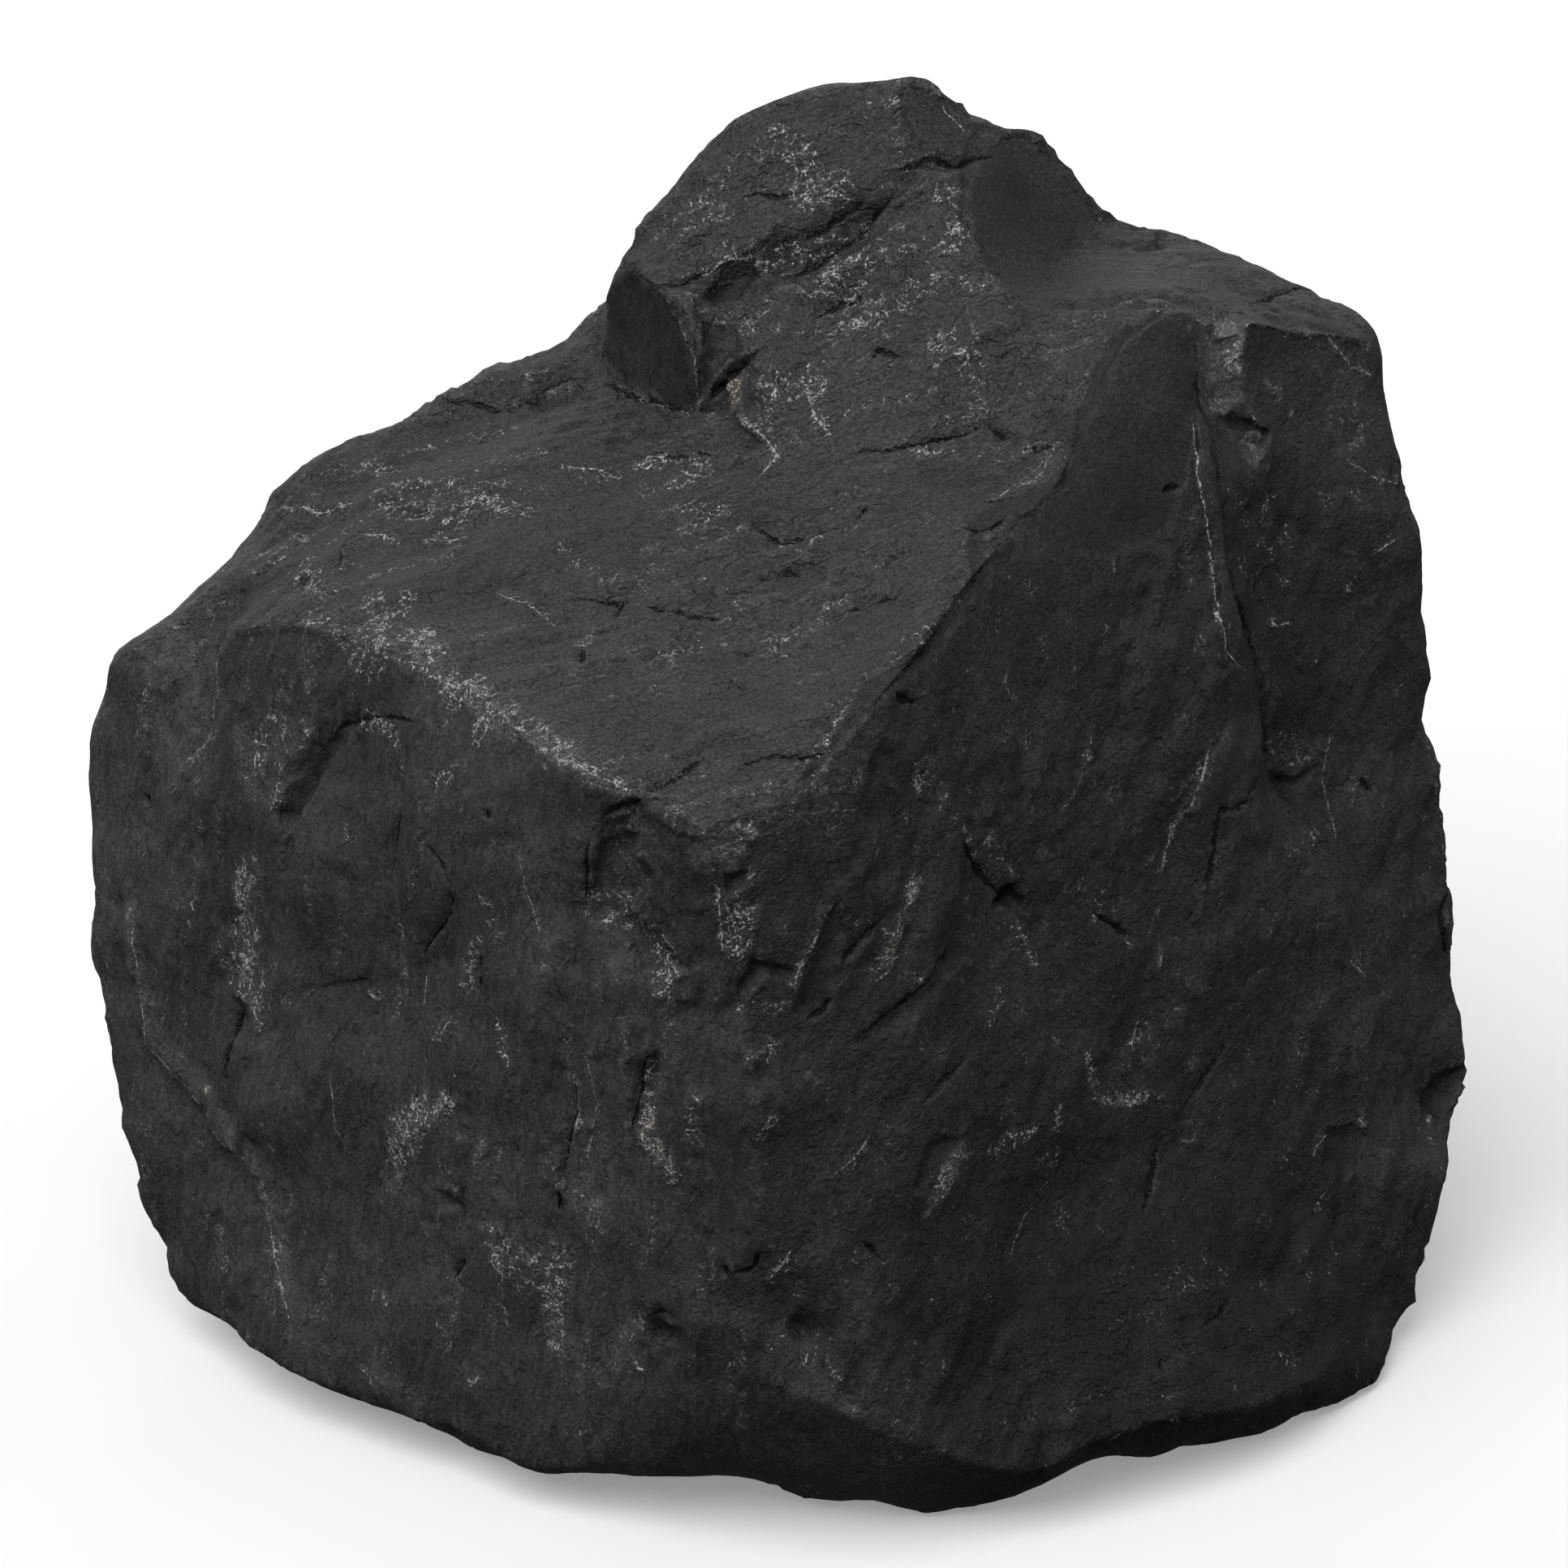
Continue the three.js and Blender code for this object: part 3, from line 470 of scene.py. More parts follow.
    "back, right": ([(29, 18, 36), (31, 15, 30)], 1.1, 0.8),
    "back, low": ([(-2, 27.5, 16), (4, 28, 13)], 1.0, 0.7),
    "back shoulder": ([(-16, 20, 45), (-6, 25, 47.5)], 0.9, 0.9),
    "back shoulder, right": ([(14, 26.5, 51), (24, 22.5, 49.5)], 0.8, 0.8),
    "right end": ([(37, 5, 30), (37.5, 5, 22)], 0.8, 0.7),
    "left end, back": ([(-37, 5, 30), (-37, 5, 24)], 0.7, 0.6),
}

# Patches whose flecks are tan: (line, reach, strength)
TAN_GRAINS = {
    "by the crown's foot": ([(905, 470), (903, 505)], 0.8, 1.2),
    "in the slot": ([(800, 1365), (792, 1395), (815, 1415)], 0.6, 0.6),
    "right wall": ([(1112, 1150), (1095, 1180)], 0.6, 1.0),
    "below the pit": ([(1244, 1137), (1232, 1240)], 0.5, 0.8),
    "low on the left": ([(253, 1339), (255, 1343)], 0.5, 1.0),
}

# Pale, freshly broken faces: (line, reach, strength)
PALE_FACES = {
    "wedge by the groove": ([(1503, 405), (1505, 440), (1508, 485)], 1.1, 0.75),
    "second wedge": ([(1545, 548), (1540, 572)], 0.6, 0.6),
    "bar": ([(1180, 1415), (1157, 1463), (1143, 1490)], 0.55, 1.0),
    "right rib": ([(1135, 1100), (1125, 1165)], 0.8, 0.6),
    "front ridge": ([(1005, 1695), (1030, 1728)], 0.5, 0.5),
    "right end": ([(1722, 1370), (1700, 1430), (1683, 1500)], 0.7, 0.5),
    "long rib": ([(165, 1120), (172, 1195)], 0.5, 0.6),
    "long rib, low": ([(253, 1352), (320, 1440), (341, 1520), (352, 1600)], 0.9, 0.4),
    "left foot": ([(449, 1692), (503, 1732)], 0.9, 0.4),
    "rim haze": ([(620, 870), (700, 925)], 1.2, 0.4),
    "top, left strip": ([(238, 790), (236, 880)], 0.5, 0.5),
}

# Smooth faces, where the grain hardly shows: (line, reach, strength)
CALM_FACES = {
    "crown's right face": ([(1225, 200), (1260, 230), (1255, 320)], 2.4, 1.0),
    "crown's left face": ([(785, 370), (790, 440), (835, 480)], 1.9, 1.0),
    "behind the crown": ([(1330, 330), (1420, 350), (1560, 345)], 3.0, 0.8),
    "left wall, middle": ([(430, 1000), (440, 1150)], 2.4, 0.6),
    "left wall, high": ([(640, 960), (690, 1010)], 2.6, 0.6),
    "left wall, low": ([(400, 1330), (420, 1500)], 2.6, 0.5),
    "corner, low": ([(890, 1330), (900, 1500)], 1.8, 0.8),
    "top, middle": ([(650, 650), (600, 700)], 2.0, 0.6),
    "top, front": ([(820, 880), (900, 890), (960, 870)], 2.2, 0.5),
    "rib by the pit": ([(1165, 1070), (1150, 1180)], 1.2, 0.8),
    "right wall, edge": ([(1410, 440), (1400, 540)], 1.8, 0.5),
    "panel": ([(1600, 850), (1650, 900)], 2.4, 0.4),
}

# Chips and faces with clear edges: (outline in pixels, drop, tone in doublings, flecks, calm).
# A tone below zero is painted shade: in recesses, pits, slots, grooves and notches, under
# overhangs and rims, and on faces turned away from the light. Above zero it is mostly the paler
# colour of rough, flecked faces; below the tongue's tip it is painted light.
PANELS = {
    "crescent": (
        [(345, 1078), (347, 1030), (341, 1002), (350, 970), (370, 942), (392, 916), (410, 903),
         (420, 908), (405, 932), (394, 955), (387, 980), (374, 1002), (367, 1022), (363, 1050),
         (352, 1080)], 0.7, -0.8, 0.0, 0.7),
    "left of the crescent": (
        [(285, 895), (340, 880), (398, 885), (372, 930), (345, 968), (338, 1005), (300, 985)],
        0.0, 0.15, 0.42, 0.0),
    "chip below the cusp": (
        [(792, 978), (765, 1000), (741, 1013), (732, 1045), (722, 1066), (720, 1104), (722, 1132),
         (750, 1143), (775, 1164), (785, 1195), (810, 1220), (822, 1218), (830, 1199), (858, 1202),
         (837, 1181), (813, 1150), (785, 1122), (800, 1100), (809, 1076), (781, 1045), (785, 1010)],
        0.75, -0.2, 0.3, 0.0),
    "face below the tongue": (
        [(808, 1006), (834, 1020), (858, 1034), (851, 1048), (827, 1055), (809, 1050)],
        0.0, -0.3, 0.0, 1.0),
    "chip at the tongue": (
        [(869, 1035), (885, 1062), (925, 1045), (940, 1003), (915, 1010), (890, 1022)],
        0.15, 0.25, 0.8, 0.0),
    "notch at the corner": (
        [(888, 1075), (925, 1070), (920, 1095), (905, 1100), (893, 1108)], 0.6, -0.6, 0.0, 0.5),
    "rough face at the corner": (
        [(890, 1112), (925, 1095), (942, 1102), (935, 1140), (930, 1165), (900, 1182), (888, 1170)],
        0.3, -0.2, 0.45, 0.0),
    "undercut at the corner": (
        [(905, 1215), (925, 1180), (960, 1185), (981, 1195), (976, 1208), (945, 1204), (925, 1220),
         (912, 1240)], 0.8, -0.5, 0.0, 0.5),
    "face by the corner streak": (
        [(1016, 1136), (1030, 1108), (1042, 1150), (1035, 1215), (1009, 1248), (985, 1255),
         (977, 1241), (988, 1202)], 0.45, -0.35, 0.0, 0.9),
    "pale wedge": (
        [(1466, 382), (1490, 378), (1538, 388), (1540, 404), (1534, 424), (1532, 480), (1534, 490),
         (1518, 506), (1490, 514), (1484, 508), (1478, 464), (1472, 432), (1464, 396)],
        0.55, 0.9, 0.4, 0.0),
    "overhang under the wedge": (
        [(1500, 512), (1518, 506), (1538, 518), (1564, 534), (1560, 538), (1538, 534), (1518, 530),
         (1502, 522)], 0.7, -0.9, 0.0, 0.8),
    "second wedge": (
        [(1522, 540), (1542, 534), (1564, 538), (1562, 552), (1548, 584), (1534, 576), (1522, 556)],
        0.5, 0.9, 0.4, 0.0),
    "rib of the groove": (
        [(1466, 492), (1470, 552), (1460, 572), (1468, 600), (1490, 664), (1500, 744), (1510, 800),
         (1506, 880), (1490, 920), (1458, 1000), (1480, 1010), (1552, 932), (1550, 860),
         (1542, 820), (1530, 764), (1522, 720), (1514, 664), (1504, 600), (1502, 552),
         (1484, 508)], -0.35, 0.12, 0.0, 0.8),
    "groove": (
        [(1490, 545), (1504, 598), (1517, 664), (1526, 720), (1537, 764), (1549, 820),
         (1557, 870), (1559, 932), (1550, 932), (1546, 870), (1537, 822), (1525, 768),
         (1514, 722), (1506, 664), (1497, 602), (1484, 552)], 0.7, -0.7, 0.0, 0.6),
    "face left of the groove": (
        [(1290, 672), (1252, 640), (1308, 598), (1324, 520), (1370, 412), (1408, 398),
         (1450, 382), (1462, 395), (1470, 440), (1476, 500), (1462, 590), (1440, 660),
         (1360, 690)], 0.1, -0.45, 0.0, 0.8),
    "right rim": (
        [(985, 962), (1000, 930), (1045, 880), (1060, 850), (1100, 825), (1130, 800),
         (1165, 740), (1195, 710), (1190, 640), (1250, 610), (1300, 585), (1310, 530),
         (1330, 497), (1364, 424), (1372, 405), (1410, 397), (1433, 378), (1440, 392),
         (1388, 420), (1350, 505), (1330, 545), (1320, 600), (1266, 630), (1216, 655),
         (1214, 722), (1184, 758), (1148, 816), (1112, 846), (1074, 872), (1020, 935),
         (1000, 962)], 0.4, -1.05, 0.0, 0.3),
    "below the right rim": (
        [(1124, 1070), (1142, 1080), (1128, 1120), (1108, 1160), (1092, 1205), (1080, 1190),
         (1096, 1140)], 0.0, 0.4, 0.9, 0.0),
    "below the long diagonal": (
        [(1185, 1150), (1194, 1168), (1164, 1218), (1122, 1262), (1064, 1292), (1050, 1283),
         (1107, 1241), (1149, 1206)], 0.35, -0.5, 0.0, 0.2),
    "rough panel": (
        [(1520, 608), (1570, 600), (1600, 650), (1590, 760), (1548, 775), (1530, 720)],
        0.25, -0.2, 0.3, 0.0),
    "foot of the groove": (
        [(1556, 945), (1590, 955), (1625, 940), (1618, 955), (1600, 975), (1595, 1000),
         (1575, 985), (1560, 965)], 0.8, -0.5, 0.0, 0.4),
    "rough chip by the groove": (
        [(1554, 888), (1590, 880), (1626, 905), (1622, 938), (1585, 945), (1560, 935)],
        0.1, 0.1, 0.4, 0.0),
    "pit": ([(1230, 1098), (1246, 1090), (1264, 1108), (1258, 1124), (1236, 1118)],
            1.0, -1.5, 0.0, 0.5),
    "below the tongue's tip": (
        [(846, 1040), (870, 1030), (895, 1040), (925, 1030), (930, 1050), (900, 1072),
         (868, 1076), (848, 1062)], 0.0, 0.7, 0.3, 0.0),
    "top edge of the right wall": (
        [(1433, 378), (1470, 370), (1540, 370), (1600, 384), (1650, 398), (1655, 414),
         (1600, 402), (1540, 392), (1470, 386), (1440, 392)], 0.1, -0.7, 0.0, 0.0),
    "pale bar": (
        [(1184, 1400), (1198, 1411), (1192, 1435), (1173, 1463), (1149, 1487), (1133, 1506),
         (1137, 1475), (1157, 1435)], -0.1, 0.6, 0.8, 0.0),
    "above the pale bar": (
        [(1150, 1395), (1182, 1402), (1157, 1433), (1136, 1472), (1120, 1465), (1130, 1430)],
        0.4, -0.3, 0.0, 0.4),
    "left face of the crown": (
        [(758, 336), (790, 339), (816, 362), (835, 394), (848, 438), (860, 504), (835, 498),
         (797, 479), (758, 460), (736, 440), (746, 387)], 0.0, -0.2, 0.05, 0.9),
    "recess in the crown": (
        [(880, 342), (893, 326), (931, 314), (934, 336), (912, 362), (880, 376), (864, 368)],
        0.75, -0.85, 0.0, 0.5),
    "valley of the crown": (
        [(931, 300), (960, 285), (989, 295), (985, 325), (955, 340), (935, 330)],
        0.5, -0.7, 0.1, 0.0),
    "low recess of the crown": (
        [(867, 394), (906, 398), (914, 432), (886, 458), (870, 490), (858, 498)],
        0.55, -0.45, 0.0, 0.8),
    "along the crown diagonal": (
        [(985, 330), (1010, 300), (1040, 270), (1085, 243), (1125, 212), (1132, 225), (1100, 250),
         (1060, 280), (1030, 305), (1000, 332)], 0.45, -0.6, 0.05, 0.2),
    "tan grains": ([(893, 466), (915, 462), (918, 500), (900, 506)], 0.3, 0.3, 1.0, 0.0),
    "crown front": (
        [(800, 300), (860, 235), (960, 130), (1105, 105), (1112, 170), (1180, 200), (1180, 300),
         (1215, 370), (1205, 480), (1100, 520), (930, 520), (920, 420), (850, 380)],
        0.0, 0.0, 0.27, 0.0),
    "top face of the crown": (
        [(1107, 112), (1136, 108), (1181, 131), (1196, 163), (1226, 170), (1187, 195),
         (1136, 188), (1112, 150)], 0.2, -0.15, 0.0, 0.8),
    "right face of the crown": (
        [(1232, 170), (1264, 166), (1302, 208), (1322, 234), (1350, 266), (1334, 285),
         (1296, 336), (1270, 368), (1232, 349), (1206, 304), (1184, 272), (1187, 208),
         (1213, 192)], 0.0, -0.25, 0.0, 1.0),
    "left of the top": (
        [(300, 700), (380, 580), (560, 520), (760, 520), (900, 560), (760, 620), (560, 690),
         (500, 760), (330, 770)], 0.0, 0.0, 0.25, 0.0),
    "bright rim": (
        [(440, 772), (505, 745), (570, 820), (640, 870), (720, 930), (785, 970), (706, 950),
         (640, 912), (610, 915), (560, 860), (500, 835)], 0.0, 0.25, 0.4, 0.0),
    "left slot": (
        [(283, 1224), (299, 1228), (313, 1258), (300, 1266), (288, 1290), (277, 1334),
         (266, 1334), (272, 1290), (281, 1262)], 0.7, -0.85, 0.0, 0.2),
    "seam wedge": ([(684, 1466), (691, 1470), (694, 1497), (680, 1497)], 0.8, -0.6, 0.0, 0.5),
    "slot floor": (
        [(797, 1294), (812, 1292), (818, 1330), (806, 1372), (786, 1385), (784, 1345)],
        0.5, -0.3, 0.35, 0.0),
    "slot grains": (
        [(786, 1388), (806, 1365), (812, 1395), (834, 1440), (830, 1456), (800, 1415)],
        0.1, 0.2, 0.9, 0.0),
    "left column": (
        [(290, 1050), (322, 1045), (330, 1110), (322, 1170), (330, 1225), (302, 1240),
         (290, 1160)], 0.0, 0.1, 0.5, 0.0),
    "lower middle": (
        [(471, 1400), (480, 1360), (520, 1365), (552, 1345), (562, 1360), (530, 1395),
         (500, 1440), (478, 1435)], 0.0, 0.1, 0.6, 0.0),
    "low band": (
        [(588, 1505), (626, 1500), (640, 1560), (700, 1530), (712, 1580), (700, 1680),
         (676, 1670), (660, 1590), (600, 1580)], 0.0, 0.1, 0.42, 0.0),
    "arc": (
        [(1330, 1300), (1345, 1310), (1350, 1345), (1380, 1338), (1415, 1350), (1400, 1370),
         (1360, 1368), (1335, 1340)], 0.2, 0.15, 0.6, 0.0),
    "dark face low on the right": (
        [(1634, 1390), (1667, 1382), (1682, 1401), (1675, 1436), (1656, 1462), (1625, 1436)],
        0.4, -0.35, 0.0, 0.8),
    "notch at the right end": (
        [(1763, 1325), (1809, 1309), (1801, 1332), (1778, 1378), (1751, 1374)],
        0.8, -0.5, 0.0, 0.5),
    "front hollow": (
        [(791, 1623), (818, 1618), (830, 1640), (815, 1669), (800, 1660)], 0.6, -0.4, 0.0, 0.3),
    "second front hollow": (
        [(962, 1622), (990, 1626), (1002, 1652), (985, 1662)], 0.5, -0.3, 0.0, 0.3),
}

# Painted shade and painted light: broad darker or paler parts of the surface's colour, which stand
# in for the light and shade that fall on its form there: (outline in pixels, soft edge, tone in
# doublings, below zero painted shade and above zero painted light)
PAINTED_SHADING = {
    "low on the right wall": (
        [(1080, 1500), (1230, 1380), (1400, 1330), (1560, 1280), (1700, 1380), (1790, 1480),
         (1790, 1900), (1240, 1900), (1150, 1700)], 6.0, -0.8),
    "lowest on the right wall": (
        [(1150, 1640), (1300, 1540), (1480, 1480), (1700, 1500), (1760, 1900), (1150, 1900)],
        5.0, -0.75),
    "foot of the right wall": (
        [(1262, 1770), (1330, 1745), (1400, 1738), (1480, 1725), (1520, 1730), (1500, 1860),
         (1262, 1860)], 0.8, -0.8),
    "lowest right end": (
        [(1690, 1430), (1790, 1400), (1790, 1560), (1730, 1680), (1680, 1640)], 2.0, 0.5),
    "beside the groove's foot": (
        [(1590, 985), (1640, 965), (1665, 1000), (1665, 1060), (1620, 1060)], 1.2, -0.6),
    "low on the corner": (
        [(1035, 1500), (1075, 1500), (1095, 1545), (1075, 1570), (1040, 1570)], 1.0, -0.6),
    "foot of the corner": (
        [(985, 1600), (1030, 1600), (1060, 1680), (1060, 1730), (1020, 1720)], 1.2, -0.6),
    "left of the front hollow": (
        [(785, 1640), (815, 1635), (835, 1660), (815, 1700), (790, 1690)], 0.8, -0.5),
    "foot of the left wall": (
        [(290, 1500), (430, 1500), (430, 1640), (380, 1650), (290, 1600)], 2.5, -0.3),
    "right of the crescent": (
        [(410, 915), (455, 925), (470, 970), (440, 1020), (400, 1010), (385, 990)], 1.4, -0.4),
    "left end, upper": (
        [(190, 850), (275, 850), (270, 960), (230, 1020), (190, 1010)], 1.5, 0.25),
    "high on the right wall": (
        [(1180, 800), (1380, 600), (1470, 560), (1660, 600), (1740, 700), (1740, 860),
         (1600, 900), (1400, 900)], 4.0, -0.5),
    "left end": (
        [(95, 830), (150, 780), (265, 780), (275, 900), (240, 1000), (205, 1250), (95, 1250)],
        2.0, 0.55),
    "left wall": (
        [(300, 940), (600, 960), (760, 1060), (880, 1280), (880, 1640), (760, 1760), (380, 1700),
         (300, 1400)], 4.0, 0.2),
    "left wall, low": (
        [(180, 1250), (420, 1300), (640, 1380), (860, 1420), (860, 1640), (740, 1770), (360, 1700),
         (200, 1560)], 5.0, 0.25),
    "fold left of the slot": (
        [(395, 1090), (450, 1100), (470, 1200), (440, 1330), (390, 1300), (380, 1180)], 2.0, -0.2),
    "fold right of the slot": (
        [(640, 1000), (690, 1040), (700, 1200), (660, 1300), (620, 1200)], 2.0, 0.25),
    "fold by the seam": (
        [(715, 1240), (770, 1260), (760, 1400), (740, 1520), (700, 1500), (705, 1360)], 1.6, 0.25),
    "right wall, streak": (
        [(1420, 1150), (1520, 1140), (1510, 1220), (1430, 1330), (1360, 1420), (1330, 1370),
         (1400, 1260)], 2.5, 0.2),
    "below the tongue": (
        [(695, 1020), (780, 1000), (870, 1025), (960, 1010), (1040, 975), (1020, 1050),
         (900, 1092), (800, 1075), (715, 1055)], 1.6, 0.75),
    "front of the crown's left face": (
        [(832, 385), (858, 395), (876, 440), (882, 470), (864, 505), (850, 440)], 0.5, 0.5),
    "behind the crown": (
        [(640, 470), (700, 435), (745, 420), (762, 458), (790, 480), (733, 466), (698, 472),
         (659, 488)], 0.8, -0.6),
    "low on the front": (
        [(795, 1650), (870, 1635), (960, 1655), (1040, 1610), (1065, 1690), (980, 1715),
         (850, 1705)], 1.2, -0.5),
    "right end": (
        [(1655, 1285), (1760, 1295), (1795, 1330), (1745, 1372), (1675, 1362)], 1.2, 0.4),
    "foot of the rib": (
        [(1490, 895), (1552, 870), (1555, 938), (1503, 1004), (1448, 1030), (1468, 960)],
        0.9, 0.65),
    "right corner of the top": (
        [(1620, 410), (1660, 425), (1705, 480), (1710, 540), (1650, 560), (1625, 500)],
        1.2, 0.4),
    "above the pit": (
        [(1170, 1010), (1215, 1020), (1255, 1085), (1235, 1095), (1200, 1070)], 0.8, 0.4),
    "above the pale bar": (
        [(1190, 1390), (1300, 1350), (1420, 1300), (1440, 1340), (1330, 1400), (1200, 1440)],
        1.2, 0.35),
    "under the crown's ledge": (
        [(880, 330), (960, 290), (1090, 270), (1100, 310), (1000, 335), (890, 370)], 0.8, -0.45),
    "crown's right side": (
        [(1195, 200), (1290, 220), (1400, 330), (1400, 380), (1230, 380)], 1.5, -0.2),
    "left end, low": (
        [(300, 1500), (520, 1500), (700, 1560), (680, 1720), (480, 1700), (330, 1620)], 2.0, -0.15),
    "top, towards the left": (
        [(300, 700), (380, 590), (560, 520), (760, 500), (900, 560), (880, 660), (760, 700),
         (640, 740), (520, 760)], 2.0, -0.2),
    "left of the top": (
        [(200, 760), (330, 690), (420, 690), (430, 730), (380, 755), (240, 790)], 1.2, -0.3),
    "middle of the top": (
        [(830, 612), (900, 610), (965, 640), (940, 660), (860, 650)], 0.8, -0.35),
}


def smooth_share(low, high, values):
    """0 below low, 1 above high, and an even curve between them."""
    share = np.clip((values - low) / (high - low), 0, 1)
    return share * share * (3 - 2 * share)


def unit(vectors):
    """The same directions with a length of one."""
    return vectors / np.maximum(np.linalg.norm(vectors, axis=-1, keepdims=True), 1e-12)


# Random relief

HASH_STEPS = np.array([73856093, 19349663, 83492791])
HASH_MIX = 1274126177
HASH_MASK = 0x7FFFFFFF
SEED_SHIFT = 17.31
CELL_JITTER = 0.45
SLOPES = np.array([
    (1, 1, 0), (-1, 1, 0), (1, -1, 0), (-1, -1, 0), (1, 0, 1), (-1, 0, 1), (1, 0, -1), (-1, 0, -1),
    (0, 1, 1), (0, -1, 1), (0, 1, -1), (0, -1, -1), (1, 1, 0), (-1, 1, 0), (0, -1, 1), (0, -1, -1),
], dtype=float)


def bumps(places, size, seed=0):
    """Smooth random heights from about -1 to 1, with bumps of that size."""
    spots = places / size + seed * SEED_SHIFT
    cells = np.floor(spots).astype(np.int64)
    inside = spots - cells
    fade = inside ** 3 * (inside * (inside * 6 - 15) + 10)
    heights = np.zeros(len(places))
    for corner in itertools.product((0, 1), repeat=3):
        mixed = ((cells + corner + seed) * HASH_STEPS).sum(axis=1)
        mixed = (mixed ^ (mixed >> 13)) * HASH_MIX
        slopes = SLOPES[(mixed ^ (mixed >> 16)) & 15]
        weights = np.prod(np.where(corner, fade, 1 - fade), axis=1)
        heights += weights * (slopes * (inside - corner)).sum(axis=1)
    return heights * 1.2


def fractal(places, size, layers, seed=0):
    """Bumps with smaller and lower bumps on them."""
    return sum(bumps(places, size / 2 ** i, seed + i) / 2 ** i for i in range(layers))


def cell_numbers(cells, seed):
    """Six random numbers from -1 to 1 for each cell, in two columns of three."""
    mixed = ((cells + seed) * HASH_STEPS).sum(axis=1)
    columns = []
    for _ in range(6):
        mixed = ((mixed ^ (mixed >> 15)) * HASH_MIX) & HASH_MASK
        columns.append(((mixed >> 8) & 4095) / 2047.5 - 1)
    return np.column_stack(columns[:3]), np.column_stack(columns[3:])


def facets(places, size, seed):
    """Heights from about -0.5 to 0.5 of flat faces that each tip a different way."""
    spots = places / size
    cells = np.floor(spots).astype(np.int64)
    nearest = np.full(len(places), np.inf)
    heights = np.zeros(len(places))
    for step in itertools.product((-1, 0, 1), repeat=3):
        jitter, tilt = cell_numbers(cells + step, seed)
        offset = spots - (cells + step) - 0.5 - CELL_JITTER * jitter
        distance = (offset ** 2).sum(axis=1)
        closer = distance < nearest
        nearest[closer] = distance[closer]
        heights[closer] = (offset[closer] * tilt[closer]).sum(axis=1)
    return heights


def terraces(heights):
    """Turns slopes into level treads with short risers between them."""
    treads = np.floor(heights)
    return treads + smooth_share(1 - LEDGE_RISER, 1, heights - treads)


# The surface: points, triangles, and the sides between them

KEY_STEP = 1 << 22
ROUNDING = (0.5, -0.53)  # one step in and one out, so that the surface doesn't shrink


def side_keys(pairs):
    """One whole number for each pair of points, the same whichever comes first."""
    return pairs.min(axis=1) * KEY_STEP + pairs.max(axis=1)


def cut_triangles(corners, middles, points):
    """Cuts each triangle at the middles of its sides ab, bc and ca, which are -1 where uncut."""
    counts = (middles >= 0).sum(axis=1)
    turns = np.where(counts == 1, (middles >= 0).argmax(axis=1), (middles < 0).argmax(axis=1) + 1)
    turns[counts == 3] = 0
    order = (turns[:, None] + np.arange(3)) % 3
    a, b, c = np.take_along_axis(corners, order, axis=1).T
    ab, bc, ca = np.take_along_axis(middles, order, axis=1).T
    one, two, three = counts == 1, counts == 2, counts == 3
    pieces = [corners[counts == 0]]

    def keep(chosen, *names):
        pieces.append(np.column_stack([name[chosen] for name in names]))

    keep(one, a, ab, c)
    keep(one, ab, b, c)
    gap_a = np.linalg.norm(points[a] - points[bc], axis=1)
    gap_c = np.linalg.norm(points[c] - points[ab], axis=1)
    from_a, from_c = two & (gap_a <= gap_c), two & (gap_a > gap_c)
    keep(two, ab, b, bc)
    keep(from_a, a, ab, bc)
    keep(from_a, a, bc, c)
    keep(from_c, a, ab, c)
    keep(from_c, ab, bc, c)
    keep(three, a, ab, ca)
    keep(three, ab, b, bc)
    keep(three, ca, bc, c)
    keep(three, ab, bc, ca)
    return np.concatenate(pieces)


